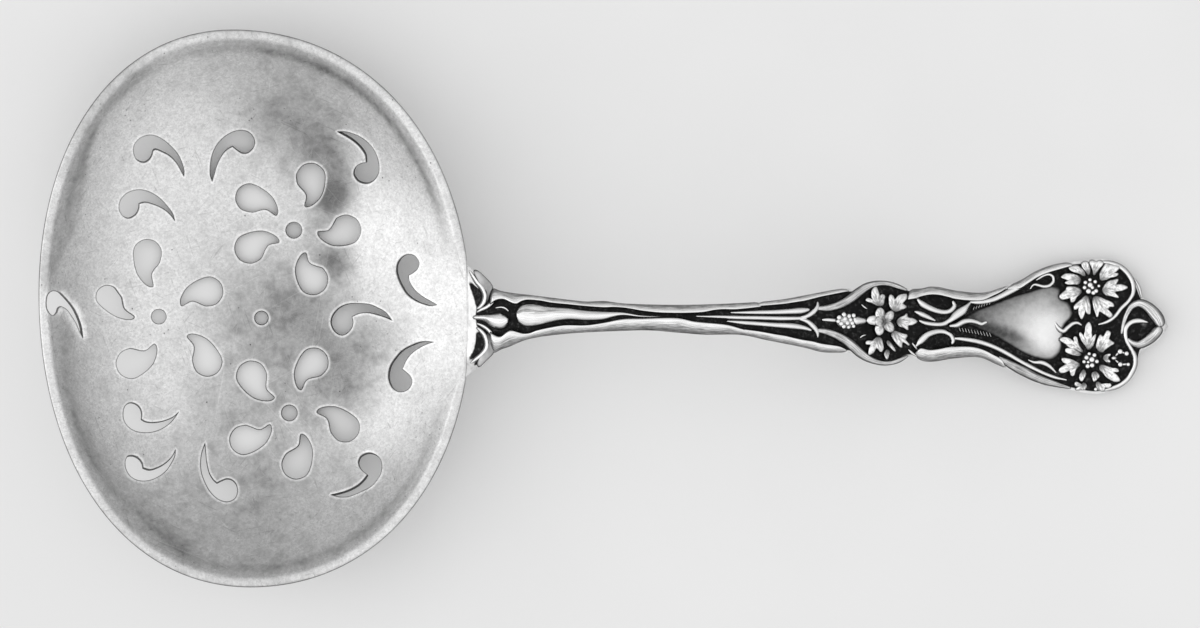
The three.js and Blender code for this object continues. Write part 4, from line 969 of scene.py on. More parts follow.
ribbons = {
    "shield_tendril": ("vineRise", [
        (49.9, -1.4, 0.08), (50.3, -2.1, 0.2), (50.9, -2.5, 0.24), (51.4, -2.1, 0.22), (52, -1.65, 0.2),
        (52.5, -1.6, 0.16), (53, -1.9, 0.08)]),
    "upper_curl": ("vineRise", [
        (47.15, 2.1, 0.06), (47.6, 2.65, 0.14), (48.1, 2.6, 0.17), (48.7, 2.45, 0.19), (49.35, 2.55, 0.2),
        (49.8, 3, 0.2), (49.75, 3.55, 0.18), (49.3, 3.8, 0.16), (48.7, 3.65, 0.15), (48.2, 3.35, 0.13),
        (47.8, 3.1, 0.05)]),
    "lower_curl": ("vineRise", [
        (46.9, -5.65, 0.05), (47.6, -5.95, 0.16), (48.5, -6, 0.26), (49.3, -6.35, 0.24),
        (50.2, -7.2, 0.08)]),
    "finial_outer": ("strapRise", [
        (57.35, -2.9, 0.12), (57.6, -1.6, 0.26), (58.05, -0.45, 0.32), (58.6, 0.3, 0.4),
        (59.35, 0.58, 0.48), (60.2, 0.22, 0.6), (60.95, -0.5, 0.7), (61.45, -1.2, 0.72),
        (61.7, -1.9, 0.6), (61.75, -2.1, 0.55)]),
    "finial_inner": ("strapRise", [
        (58, -3.25, 0.15), (58.5, -3.75, 0.34), (59.3, -3.98, 0.48), (60.15, -3.6, 0.58),
        (60.9, -3, 0.62), (61.4, -2.4, 0.6), (61.65, -1.9, 0.5)]),
    "lower_lobe_rim": ("vineRise", [
        (60.4, -1.55, 0.06), (59.4, -1.35, 0.3), (58.5, -1.5, 0.3), (57.9, -2.1, 0.28),
        (57.8, -2.9, 0.27), (58, -3.7, 0.26), (58.5, -4.6, 0.26), (58.85, -5.4, 0.26),
        (58.85, -6.3, 0.27), (58.55, -7, 0.27), (58.05, -7.8, 0.26), (57.3, -8.4, 0.26),
        (56.4, -8.8, 0.24), (55.3, -9.1, 0.12)]),
    "upper_lobe_rim": ("vineRise", [
        (54.8, 5.2, 0.12), (56.3, 5, 0.25), (57.4, 4.5, 0.27), (58.1, 3.8, 0.27), (58.6, 2.9, 0.27),
        (58.65, 1.8, 0.25), (58.2, 0.9, 0.24), (57.3, 0, 0.24), (56.6, -0.9, 0.22), (55.7, -1.5, 0.2),
        (54.7, -1.8, 0.1)]),
    "bud_stem": ("vineRise", [
        (23.9, -1.25, 0.12), (24.6, -1.25, 0.22), (25.3, -1.3, 0.22), (25.9, -1.35, 0.12)]),
    "upper_main_stem": ("strapRise", [
        (23.3, 0.02, 0.22), (24.5, 0.05, 0.42), (25.5, 0.25, 0.5), (26.5, 0.68, 0.54), (27.4, 1.25, 0.56),
        (28.2, 1.85, 0.54), (28.9, 2.32, 0.48), (29.7, 2.65, 0.38), (30.6, 2.78, 0.3), (31.5, 2.7, 0.28),
        (32.4, 2.42, 0.28), (33.5, 2, 0.12)]),
    "lower_main_stem": ("strapRise", [
        (23.3, -2.38, 0.22), (24.5, -2.58, 0.42), (25.5, -2.92, 0.5), (26.5, -3.45, 0.55),
        (27.4, -4.12, 0.58), (28.2, -4.85, 0.56), (29, -5.42, 0.46), (29.9, -5.82, 0.34),
        (30.8, -6.02, 0.28), (31.7, -5.98, 0.26), (32.6, -5.7, 0.26), (33.6, -5.2, 0.1)]),
    "upper_reed": ("vineRise", [
        (13.8, -0.45, 0.08), (16, -0.42, 0.2), (18, -0.4, 0.25), (20, -0.33, 0.3), (21.8, -0.2, 0.34),
        (22.7, -0.1, 0.15)]),
    "lower_reed": ("vineRise", [
        (13.4, -1.4, 0.08), (15, -1.55, 0.22), (17, -1.7, 0.26), (19, -1.85, 0.3), (21, -1.98, 0.34),
        (22.2, -2.2, 0.24), (22.9, -2.45, 0.12)]),
    "vine_leaf": ("vineRise", [
        (34.7, -1.3, 0.1), (35.5, -1.6, 0.22), (36.5, -1.75, 0.24), (37.5, -1.7, 0.26),
        (38.3, -1.3, 0.34), (39, -0.75, 0.5), (39.7, -0.2, 0.48), (40.4, 0.55, 0.2), (40.75, 1, 0.06)]),
    "small_leaf": ("vineRise", [
        (34.2, -0.3, 0.1), (34.9, -0.55, 0.28), (35.8, -0.95, 0.26), (36.7, -1.4, 0.08)]),
    "vine_tendril": ("vineRise", [
        (38.1, -1.95, 0.1), (39, -1.85, 0.24), (39.8, -1.45, 0.28), (40.5, -1.35, 0.26),
        (41.2, -1.5, 0.22), (41.8, -1.7, 0.2), (42.3, -1.5, 0.17), (43, -1.7, 0.06)]),
    "upper_vine_loop": ("vineRise", [
        (34.5, 1.2, 0.12), (35.05, 0.6, 0.36), (35.9, 0.1, 0.36), (37, -0.3, 0.3), (37.8, -0.38, 0.28),
        (38.4, -0.15, 0.28), (38.75, 0.35, 0.28), (38.5, 0.95, 0.16)]),
    "lower_vine_loop": ("vineRise", [
        (34.4, -4.3, 0.12), (35, -3.6, 0.42), (35.8, -2.9, 0.38), (37, -2.55, 0.3), (37.8, -2.65, 0.28),
        (38.4, -3.05, 0.28), (38.6, -3.6, 0.26), (38.4, -4.1, 0.14)]),
    "upper_terminal_vine": ("vineRise", [
        (40.4, 0.75, 0.15), (41.2, 0.72, 0.28), (42.2, 0.8, 0.3), (43.2, 1.05, 0.32), (44.2, 1.5, 0.34),
        (45.2, 2, 0.34), (46.2, 2.5, 0.28), (47.3, 3.05, 0.1)]),
    "lower_terminal_vine": ("stemRise", [
        (38.5, -3.3, 0.15), (39.5, -3.38, 0.3), (41, -3.6, 0.36), (42, -3.85, 0.36), (43, -4.2, 0.34),
        (44, -4.65, 0.32), (45, -5.2, 0.32), (46, -5.8, 0.3), (47, -6.35, 0.3), (48, -6.85, 0.28),
        (49, -7.3, 0.26), (50, -7.65, 0.24), (51.4, -7.95, 0.1)]),
    "lower_terminal_stem": ("stemRise", [
        (43.6, -5.35, 0.15), (44.6, -5.95, 0.42), (45.6, -6.5, 0.52), (46.6, -7, 0.55),
        (47.7, -7.55, 0.52), (48.8, -8, 0.46), (50, -8.35, 0.36), (51.8, -8.85, 0.12)]),
    "neck_curl_upper": ("stemRise", [
        (-15, 4.3, 0.1), (-14.65, 3.75, 0.22), (-14.1, 2.94, 0.3), (-13.45, 2.17, 0.33),
        (-13.2, 1.39, 0.33), (-13.35, 0.72, 0.3), (-13.75, 0.2, 0.22), (-14.2, -0.1, 0.1)]),
    "neck_curl_lower": ("stemRise", [
        (-14.2, -2.05, 0.1), (-13.75, -2.38, 0.22), (-13.28, -2.94, 0.3), (-13.02, -3.61, 0.33),
        (-13.07, -4.39, 0.33), (-13.55, -5.06, 0.3), (-14.3, -5.65, 0.24), (-14.9, -6.1, 0.1)]),
    "neck_pod": ("stemRise", [
        (-14.6, -0.98, 0.2), (-13.5, -1, 0.34), (-12.9, -1.1, 0.52), (-12.3, -1.28, 0.8),
        (-11.7, -1.38, 0.96), (-11.2, -1.35, 0.88), (-10.8, -1.2, 0.6), (-10.45, -1.05, 0.16)]),
    "neck_pod_curl": ("vineRise", [
        (-12.1, 0.05, 0.06), (-11.4, 0.15, 0.11), (-10.9, 0, 0.12), (-10.55, -0.35, 0.06)]),
}

branches = {
    "centre_fork": [
        [(10, -0.85, 0.1), (13, -0.93, 0.22), (15, -1, 0.24), (17, -1.03, 0.26), (20, -1.1, 0.28),
         (22.4, -1.05, 0.22)],
        [(21.2, -1.05, 0.12), (22.3, -0.85, 0.28), (23, -0.4, 0.34), (23.45, 0.15, 0.3),
         (23.5, 0.85, 0.08)],
        [(21.2, -1.1, 0.12), (22.3, -1.4, 0.28), (23, -1.95, 0.34), (23.45, -2.6, 0.3), (23.5, -3.3, 0.08)]],
    "side_bud": [
        [(56.1, -5.5, 0.1), (56.5, -5.5, 0.3), (56.9, -5.5, 0.1)],
        [(56.65, -5.35, 0.05), (56.9, -5.05, 0.15), (57.15, -4.72, 0.05)],
        [(57.1, -4.75, 0.05), (57.55, -4.9, 0.14), (57.95, -4.97, 0.05)],
        [(56.65, -5.65, 0.05), (56.9, -5.9, 0.15), (57.2, -6.2, 0.05)],
        [(57.15, -6.2, 0.05), (57.7, -6.2, 0.16), (58.3, -6.1, 0.05)]],
}

# A strap's inner line; its other side is the edge of the handle
straps = {
    "upper_waist_strap": (1, "strapRise", [
        (33.4, 0.9), (34.3, 1), (35, 1.25), (36, 1.45), (37, 1.42), (38, 1.2), (39, 0.95), (41, 0.8),
        (42, 0.9), (43, 1.35), (44, 1.85), (44.9, 2.55)]),
    "lower_waist_strap": (-1, "strapRise", [
        (34.3, -4.9), (34.9, -4.3), (36, -4.45), (37, -4.35), (38, -4.15), (39, -4.1), (40, -4.1),
        (41, -4.2), (42, -4.5), (43, -5), (44, -5.6), (44.5, -6.5)]),
    "upper_terminal_stem": (1, "stemRise", [
        (44.6, 2.1), (46, 2.15), (47, 2.75), (48, 3.4), (49, 3.85), (50.5, 4.3), (52, 4.75)]),
    "upper_shank_strap": (1, "strapRise", [
        (16.8, 0.25), (18, 0.32), (20, 0.5), (21, 0.65), (22, 0.8), (23, 1.05), (24, 1.3), (25, 1.5),
        (26, 1.7), (27, 1.9)]),
    "lower_shank_strap": (-1, "strapRise", [
        (15.2, -2.25), (17, -2.45), (19, -2.8), (20, -2.95), (21, -3.2), (22, -3.4), (23, -3.55),
        (24, -3.8), (25, -3.95), (26, -4.15), (26.8, -4.6)]),
    "upper_neck_strap": (1, "strapRise", [
        (-12.7, 0.45), (-12.5, 0.58), (-12.2, 0.8), (-11.7, 1.05), (-11.1, 1.08), (-10.1, 0.6),
        (-9.7, 0.55), (-9.2, 0.85), (-8.6, 1.05), (-7, 0.95), (-6, 0.75), (-4, 0.55), (-2, 0.35),
        (0, 0.2), (1, 0.25), (2, 0.2), (3, 0.05), (4, -0.15), (6, -0.4), (9, -0.45), (11, -0.32),
        (12, -0.1), (13, 0), (14.2, -0.02), (15.5, 0.08), (17.3, 0.3)]),
    "lower_neck_strap": (-1, "strapRise", [
        (-12.7, -2.6), (-12.3, -2.8), (-11.9, -3.02), (-11.5, -3.1), (-10.4, -2.4), (-9.5, -2.65),
        (-9, -2.82), (-8.3, -2.8), (-7.5, -2.5), (-6.5, -2.25), (-4.5, -1.9), (-2, -1.9), (0, -1.6),
        (2, -1.2), (4, -1.15), (8, -1.05), (10, -1.45), (13.5, -1.85), (15, -2.3), (16.6, -2.8)]),
}

# A petal's outline starts at its root
blossoms = {
    "mid_blossom": [
        [(30.3, 0.25), (29.9, 0.42), (29.45, 0.62), (28.8, 0.92), (28.95, 1.14), (29.5, 0.98),
         (29.45, 1.5), (29.55, 2.1), (29.95, 2.42), (30.22, 2), (30.42, 1.45), (30.7, 1.58), (30.97, 1.4),
         (30.9, 0.9), (30.75, 0.4)],
        [(32.1, -0.33), (31.55, 0.1), (31.4, 0.78), (31.48, 1.5), (31.78, 1.48), (32.02, 1.03),
         (32.55, 1.48), (33.4, 1.55), (33.4, 1.15), (33.02, 0.6), (33.38, 0.2), (33, -0.08), (32.5, -0.26)],
        [(32.3, -1.45), (32.6, -1.02), (33.2, -0.72), (33.42, -0.52), (33.55, -0.95), (34.1, -1.1),
         (34.58, -1.45), (34.1, -1.8), (33.6, -1.9), (33.55, -2.38), (33.1, -2.15), (32.55, -1.95)],
        [(31.9, -2.5), (32.8, -2.72), (33.48, -2.98), (33.3, -3.4), (33.72, -4.08), (33, -3.78),
         (32.82, -4.32), (32.3, -3.95), (31.85, -3.35), (31.7, -2.9)],
        [(30.2, -3.15), (29.5, -3.55), (28.85, -3.66), (28.82, -3.9), (29.3, -4.05), (29.15, -4.6),
         (29.18, -5.12), (29.65, -4.92), (30.05, -4.42), (30.55, -4.82), (30.82, -4.5), (30.77, -3.85),
         (30.55, -3.3)],
        [(31.25, -4.55), (30.98, -4.8), (30.92, -5.15), (31.2, -5.6), (31.42, -5.15), (31.45, -4.8)],
        [(31.25, -3.55), (31.2, -3.8), (31.55, -4.3), (32.15, -4.75), (31.95, -4.3), (31.55, -3.75)]],
    "upper_blossom": [
        [(52.85, 3.1), (52.6, 3.6), (52, 3.86), (51.4, 3.9), (50.95, 3.8), (50.64, 3.5), (51.1, 3.25),
         (51.4, 3.08), (51.05, 2.86), (51.3, 2.68), (52, 2.66), (52.6, 2.72)],
        [(52.95, 1.9), (52.55, 2.32), (51.9, 2.44), (51.25, 2.38), (51.15, 2.1), (50.75, 1.75),
         (50.42, 1.32), (50.65, 1.03), (51.2, 1.05), (51.62, 1.15), (51.75, 0.7), (52.02, 0.72),
         (52.4, 1.25)],
        [(53.55, 1.45), (53, 1.15), (52.5, 0.72), (52.06, 0.2), (52.15, -0.15), (52.5, 0.1),
         (52.6, -0.65), (52.9, -1.22), (53.2, -0.75), (53.3, -0.28), (53.6, -0.62), (53.85, -0.65),
         (53.92, 0), (53.8, 0.9)],
        [(54.35, 1.35), (54.15, 0.9), (54.2, 0.3), (54.37, -0.35), (54.65, -1), (54.92, -0.4),
         (55.5, -0.7), (56.15, -1), (56.35, -0.75), (55.85, -0.1), (56.1, 0.15), (56.55, 0.25),
         (56.4, 0.62), (55.6, 1), (54.9, 1.3)],
        [(55.25, 2), (55.45, 2.55), (55.8, 2.98), (56.4, 3.2), (57, 3.25), (56.85, 2.75), (57.5, 2.66),
         (58.05, 2.35), (57.6, 2.05), (56.7, 1.8), (57.05, 1.2), (56.2, 1.35), (55.6, 1.5)],
        [(55.05, 3.15), (54.95, 3.5), (54.97, 3.95), (55.3, 4.6), (55.65, 5), (56.2, 4.86), (57.15, 4.62),
         (56.9, 4.22), (56.6, 4.05), (57.02, 3.85), (56.85, 3.62), (56.2, 3.44), (55.6, 3.18)],
        [(54.3, 3.7), (54.6, 4.03), (54.97, 4.55), (55.35, 5.06), (55.05, 5.32), (54.55, 5.2),
         (54.1, 5.36), (53.82, 5.18), (53.95, 4.8), (54.15, 4.3)],
        [(53.75, 3.75), (53.35, 4.2), (52.95, 4.75), (53.05, 5.1), (53.5, 5.2), (53.75, 4.9), (53.88, 4.3)],
        [(53.3, 3.6), (52.8, 3.85), (52.2, 4.05), (51.65, 4.28), (51.5, 4.5), (51.8, 4.65), (52.4, 4.74),
         (52.9, 4.5), (53.3, 4)]],
    "lower_blossom": [
        [(53.7, -4.55), (53.26, -4.05), (52.9, -3.56), (52.66, -2.9), (52.7, -2.6), (53.1, -2.95),
         (53.26, -2.5), (53.4, -1.8), (53.73, -1.45), (54, -1.8), (54.08, -2.7), (54.2, -3.14),
         (54.54, -2.82), (54.42, -3.5), (54.16, -4.2)],
        [(54.95, -4.8), (54.54, -4.3), (54.63, -3.65), (54.97, -2.9), (55.3, -3.05), (55.8, -2.42),
         (56.15, -2.6), (56.02, -3.35), (56.3, -3.6), (56.57, -3.82), (56.25, -4.08), (55.65, -4.5),
         (55.3, -4.82)],
        [(55.35, -5.5), (55.6, -5.15), (56.15, -5.05), (55.85, -5.5), (56.1, -5.95), (55.6, -5.87)],
        [(54.95, -6.35), (54.97, -6.8), (55.4, -7.3), (55.8, -7.75), (56.6, -8.13), (57.2, -8.02),
         (57.05, -7.6), (56.6, -7.08), (57.08, -6.98), (57, -6.72), (56.5, -6.62), (55.8, -6.4),
         (55.3, -6.25)],
        [(54.4, -7), (54.08, -7.24), (54.14, -7.75), (54.3, -8.1), (54.68, -7.84), (54.92, -7.5),
         (54.7, -7.15)],
        [(53.2, -6.8), (52.78, -7.25), (52.68, -7.8), (52.9, -8.1), (53.22, -7.75), (53.42, -7.25)],
        [(52.75, -6.2), (52.2, -5.8), (51.4, -5.52), (50.7, -5.52), (50.78, -5.88), (51.2, -6.12),
         (50.9, -6.32), (50.4, -6.75), (50.5, -7.08), (50.9, -7.15), (51.55, -6.9), (51.76, -7.42),
         (52.02, -7.5), (52.2, -7.1), (52.4, -6.65)],
        [(52.9, -5.1), (52.3, -4.62), (51.6, -4.4), (51.15, -4.45), (51.1, -4.75), (51.5, -5),
         (52.2, -5.2), (52.7, -5.22)],
        [(53.1, -4.85), (52.68, -4.1), (52.45, -3.5), (52.3, -3.08), (52.06, -3.1), (52.02, -3.56),
         (51.4, -3.2), (50.8, -3.15), (50.48, -3.4), (51.04, -3.9), (51.55, -4.32), (52.3, -4.62)],
        [(53.2, -8.25), (52.9, -8.55), (52.55, -8.3), (52.25, -8.15), (52.15, -8.4), (52.5, -8.75),
         (52.3, -9), (52.8, -9), (53.3, -8.95), (53.5, -8.55)],
        [(54.6, -8.15), (54.55, -8.5), (54.75, -8.95), (55.4, -9.15), (55.6, -8.75), (56.05, -8.75),
         (56.1, -8.4), (55.8, -8.4), (55.4, -8.65), (54.95, -8.25)]],
}

# Beads: place and radius
clusters = {
    "upper_blossom_beads": [
        (53.35, 2.88, 0.19), (53.86, 3.18, 0.17), (54.44, 2.97, 0.18), (53.26, 2.32, 0.19),
        (53.88, 2.6, 0.25), (54.12, 2.32, 0.18), (53.69, 1.91, 0.26), (54.24, 1.74, 0.2),
        (54.54, 1.94, 0.2), (54.85, 2.5, 0.14)],
    "lower_blossom_beads": [
        (53.77, -5.02, 0.16), (54.35, -5.17, 0.21), (53.47, -5.44, 0.21), (54.07, -5.66, 0.26),
        (53.2, -5.9, 0.18), (53.66, -5.94, 0.15), (54.63, -5.87, 0.2), (53.6, -6.4, 0.21),
        (54.1, -6.3, 0.23)],
    "bud_beads": [
        (25.86, -1, 0.22), (26.38, -0.68, 0.22), (25.76, -1.42, 0.2), (26.08, -1.66, 0.22),
        (26.36, -1.98, 0.2), (26.5, -1.15, 0.22), (26.95, -0.85, 0.22), (27.45, -0.78, 0.22),
        (26.75, -1.6, 0.22), (27.1, -1.25, 0.2), (27.3, -1.62, 0.22), (27.6, -1.2, 0.18),
        (26.9, -2.05, 0.18), (27.45, -1.95, 0.18)],
    "side_bud_beads": [
        (57.2, -4.78, 0.24), (57.92, -5, 0.21), (57.22, -6.2, 0.23), (58.1, -6.2, 0.17),
        (54.5, -8.95, 0.17), (56.02, -8.5, 0.2)],
}

shieldOutline = [
    (39.6, -1.3), (41.2, -0.2), (42.9, 0.45), (45.1, 1.3), (47.3, 1.95), (49.4, 2.5), (50.5, 2.3),
    (50.7, 1.2), (51.6, 0.6), (52, -0.6), (51.1, -1.9), (50.8, -3.4), (50.6, -4.8), (49.6, -5.7),
    (47.9, -5.5), (46.5, -4.95), (45, -4.1), (43.3, -3.1), (41.5, -2.3),
]

# Bright leaves between a neck curl and its strap
flares = [
    [(-12.95, 0.8), (-12.85, 1.5), (-13.05, 2.2), (-13.5, 2.8), (-14.15, 3.6), (-14.4, 4.15),
     (-14.1, 4.15), (-13.2, 3.4), (-12.6, 2.75), (-12.4, 2.35), (-12.6, 1.8)],
    [(-12.9, -2.75), (-12.65, -3.4), (-12.6, -4.1), (-12.85, -4.9), (-13.4, -5.5), (-14, -6.1),
     (-13.9, -6.4), (-13.1, -5.7), (-12.4, -5), (-12.15, -4.5), (-12.35, -3.6)],
]

leafUpper = [
    (-9.9, -0.5), (-9.3, 0.35), (-8.5, 0.55), (-7.5, 0.5), (-6.5, 0.3), (-4, 0.1), (-2, -0.15),
    (0, -0.25), (2, -0.4), (4, -0.75), (6.2, -0.9),
]
leafLower = [
    (-9.9, -0.5), (-9.5, -1.6), (-8.9, -1.95), (-8, -2), (-7, -1.85), (-6, -1.6), (-4, -1.3), (-2, -1.4),
    (0, -1.3), (1, -1), (2, -0.8), (4, -0.95), (6.2, -0.9),
]


# Shader nodes

def fill(tree, made, inputs):
    # Links a node's sockets or sets their values
    for key, value in inputs.items():
        if isinstance(value, bpy.types.NodeSocket):
            tree.links.new(value, made.inputs[key])
        else:
            made.inputs[key].default_value = value


def node(tree, kind, inputs=None, **options):
    made = tree.nodes.new(kind)
    for key, value in options.items():
        setattr(made, key, value)
    fill(tree, made, inputs or {})
    return made


def newMaterial(name, metallic=1.0):
    material = bpy.data.materials.new(name)
    material.use_nodes = True
    tree = material.node_tree
    shader = tree.nodes["Principled BSDF"]
    fill(tree, shader, {"Metallic": metallic})
    return material, tree, shader


def math2(tree, operation, a, b=0.0, c=0.0, clamp=False):
    return node(tree, "ShaderNodeMath", {0: a, 1: b, 2: c}, operation=operation, use_clamp=clamp).outputs[0]


def placeInMm(tree):
    place = node(tree, "ShaderNodeTexCoord").outputs["Object"]
    inputs = {0: place, 1: (1 / mm, 1 / mm, 1 / mm)}
    return node(tree, "ShaderNodeVectorMath", inputs, operation="MULTIPLY").outputs[0]


def noiseOf(tree, vector, scale, detail=4.0, rough=0.55):
    inputs = {"Vector": vector, "Scale": scale, "Detail": detail, "Roughness": rough}
    return node(tree, "ShaderNodeTexNoise", inputs).outputs["Fac"]


def between(tree, value, low, high, out=(0.0, 1.0)):
    inputs = {"Value": value, "From Min": low, "From Max": high, "To Min": out[0], "To Max": out[1]}
    return node(tree, "ShaderNodeMapRange", inputs, clamp=True, interpolation_type="SMOOTHSTEP").outputs[0]


def shaded(tree, tone, mask, low, high, factors):
    # A tone times a factor that follows a mask
    return math2(tree, "MULTIPLY", tone, between(tree, mask, low, high, factors))


def gainOf(tree, value, gain):
    # How far a noise is above or below its middle, times a gain
    return math2(tree, "MULTIPLY", math2(tree, "SUBTRACT", value, 0.5), gain)


def grey(tree, value):
    return node(tree, "ShaderNodeCombineColor", {0: value, 1: value, 2: value}).outputs[0]


def scratches(tree, place, sets, stretch):
    # Each set has its turn, how fine it is and from which level of its noise on a scratch shows
    total = 0.0
    for angle, fine, level in sets:
        inputs = {"Vector": place, "Rotation": (0, 0, angle), "Scale": (1 / stretch, 1 / fine, 1.0)}
        turned = node(tree, "ShaderNodeMapping", inputs, vector_type="TEXTURE")
        lines = between(tree, noiseOf(tree, turned.outputs[0], 1.0, 3.0, 0.6), level, level + 0.05)
        total = math2(tree, "MAXIMUM", lines, total)
    return total


def bump(tree, height, distance, strength=1.0, normal=None):
    inputs = {"Height": height, "Distance": distance * mm, "Strength": strength}
    if normal is not None:
        inputs["Normal"] = normal
    return node(tree, "ShaderNodeBump", inputs).outputs[0]


# Finishes. The two values of a pair go with the two levels that the code gives with them, in that order.

bowlFinish = {
    "tones": (0.74, 0.18),
    "roughness": 0.36,
    "grain": (0.86, 1.1),
    "speckle": (0.9, 1.07),
    "mottle": (1.03, 0.96),
    "pits": (1.0, 0.4),
    "nicks": (1.0, 0.8),
    # Dirt and painted shade on the cut faces, and a painted highlight on the cut corners
    "dirtAndShade": (1.0, 0.15),
    "rubbedAndHighlit": (0.0, 0.3),
    "scratchShine": 0.08,
    "scratchSets": [
        (0.5, 6.0, 0.63), (1.4, 5.0, 0.64), (2.3, 7.0, 0.64), (-0.4, 4.0, 0.66), (0.95, 9.0, 0.66)],
    "nickSets": [(1.9, 4.0, 0.65), (0.2, 5.0, 0.65), (2.7, 4.0, 0.66), (0.9, 4.0, 0.66)],
}


def bowlMaterial():
    look = bowlFinish
    material, tree, shader = newMaterial("satinSilver")
    place = placeInMm(tree)
    painted = node(tree, "ShaderNodeAttribute", attribute_name="tarnishAndShade").outputs["Fac"]
    clouds = between(tree, noiseOf(tree, place, 0.11, 6.0, 0.62), 0.4, 0.68)
    mottle = between(tree, noiseOf(tree, place, 0.5, 6.0, 0.7), 0.42, 0.7)
    grain = noiseOf(tree, place, 4.0, 6.0, 0.75)
    speckle = noiseOf(tree, place, 2.2, 5.0, 0.8)
    lines = scratches(tree, place, look["scratchSets"], 0.05)
    nicks = scratches(tree, place, look["nickSets"], 0.25)
    spots = node(tree, "ShaderNodeTexVoronoi", {"Vector": place, "Scale": 1.2, "Randomness": 1.0})
    rare = between(tree, noiseOf(tree, place, 0.22, 2.0), 0.5, 0.62)
    pits = math2(tree, "MULTIPLY", between(tree, spots.outputs["Distance"], 0.12, 0.05), rare)
    tarnishAndShade = math2(tree, "MULTIPLY", clouds, 0.08)
    tarnishAndShade = math2(tree, "MULTIPLY_ADD", mottle, 0.05, tarnishAndShade)
    tarnishAndShade = math2(tree, "MULTIPLY_ADD", painted, math2(tree, "MULTIPLY_ADD", mottle, 0.2, 0.85), tarnishAndShade)
    tarnishAndShade = math2(tree, "MULTIPLY_ADD", grain, 0.2, tarnishAndShade, clamp=True)
    tone = between(tree, tarnishAndShade, 0.0, 1.0, look["tones"])
    tone = shaded(tree, tone, pits, 0.0, 1.0, look["pits"])
    tone = shaded(tree, tone, grain, 0.38, 0.62, look["grain"])
    tone = shaded(tree, tone, speckle, 0.38, 0.62, look["speckle"])
    tone = shaded(tree, tone, mottle, 0.0, 1.0, look["mottle"])
    tone = shaded(tree, tone, nicks, 0.0, 1.0, look["nicks"])
    tone = math2(tree, "MULTIPLY_ADD", lines, look["scratchShine"], tone, clamp=True)
    # Past 1 the painted attribute is dirt and painted shade on a cut face, and below 0 it is a painted
    # highlight on a cut's corner
    tone = shaded(tree, tone, painted, 1.0, 1.6, look["dirtAndShade"])
    tone = math2(tree, "ADD", tone, between(tree, painted, 0.0, -0.4, look["rubbedAndHighlit"]), clamp=True)
    roughness = math2(tree, "MULTIPLY_ADD", tarnishAndShade, 0.12, look["roughness"])
    roughness = math2(tree, "MULTIPLY_ADD", lines, 0.1, roughness)
    normal = bump(tree, math2(tree, "SUBTRACT", grain, math2(tree, "MULTIPLY", lines, 0.8)), 0.012, 0.6)
    normal = bump(tree, math2(tree, "MULTIPLY", pits, -1.0), 0.06, 0.8, normal)
    fill(tree, shader, {"Base Color": grey(tree, tone), "Roughness": roughness, "Normal": normal})
    return material


reliefFinish = {
    "tones": (0.014, 0.95),
    "roughness": (0.5, 0.2),
    # Painted shade on the slopes
    "slopeShade": (0.3, 1.0),
    "marks": (0.16, 0.6),
}


def reliefMaterial():
    look = reliefFinish
    material, tree, shader = newMaterial("brightSilver")
    place = placeInMm(tree)
    lift = node(tree, "ShaderNodeAttribute", attribute_name="lift").outputs["Fac"]
    flow = node(tree, "ShaderNodeAttribute", attribute_name="flow").outputs["Vector"]
    dirtAndShade = noiseOf(tree, place, 1.6, 5.0, 0.65)
    worn = math2(tree, "ADD", gainOf(tree, dirtAndShade, 0.22), lift)
    tone = between(tree, worn, 0.0, 0.75, look["tones"])
    # Painted shade: the tone darkens as the surface turns from facing up towards facing sideways
    upwards = node(tree, "ShaderNodeTexCoord").outputs["Normal"]
    level = node(tree, "ShaderNodeSeparateXYZ", {0: upwards}).outputs["Z"]
    slope = math2(tree, "ADD", gainOf(tree, dirtAndShade, 0.2), level)
    tone = shaded(tree, tone, slope, 0.35, 0.93, look["slopeShade"])
    # Fine marks run along each piece
    stretched = node(tree, "ShaderNodeMapping", {"Vector": flow, "Scale": (0.35, 9.0, 1.0)})
    strands = noiseOf(tree, stretched.outputs[0], 1.6, 5.0, 0.6)
    marks = shaded(tree, between(tree, strands, 0.58, 0.4), worn, 1.0, 0.6, look["marks"])
    tone = math2(tree, "MULTIPLY", tone, math2(tree, "SUBTRACT", 1.0, marks))
    roughness = between(tree, worn, 0.1, 0.9, look["roughness"])
    normal = bump(tree, noiseOf(tree, place, 9.0, 3.0), 0.01, 0.4, bump(tree, strands, 0.03, 0.5))
    fill(tree, shader, {"Base Color": grey(tree, tone), "Roughness": roughness, "Normal": normal})
    return material


blankFinish = {
    "tones": (0.703, 0.014),
    "roughness": (0.28, 0.5),
    "dirtAndShade": (0.75, 1.1),
    "rubbedAndHighlit": (0.0, 0.06),
}


def blankMaterial():
    look = blankFinish
    material, tree, shader = newMaterial("darkenedSilver")
    place = placeInMm(tree)
    ground = node(tree, "ShaderNodeAttribute", attribute_name="ground").outputs["Fac"]
    dirtAndShade = noiseOf(tree, place, 1.2, 6.0, 0.65)
    level = math2(tree, "MULTIPLY_ADD", dirtAndShade, 0.4, math2(tree, "SUBTRACT", ground, 0.2))
    dark = between(tree, level, 0.1, 0.6)
    tone = between(tree, dark, 0.0, 1.0, look["tones"])
    tone = shaded(tree, tone, dirtAndShade, 0.3, 0.7, look["dirtAndShade"])
    rubbedAndHighlit = between(tree, noiseOf(tree, place, 2.2, 5.0, 0.7), 0.5, 0.74, look["rubbedAndHighlit"])
    tone = math2(tree, "ADD", tone, rubbedAndHighlit, clamp=True)
    roughness = between(tree, dark, 0.0, 1.0, look["roughness"])
    normal = bump(tree, noiseOf(tree, place, 5.0, 5.0), 0.03, 0.6)
    fill(tree, shader, {"Base Color": grey(tree, tone), "Roughness": roughness, "Normal": normal})
    return material


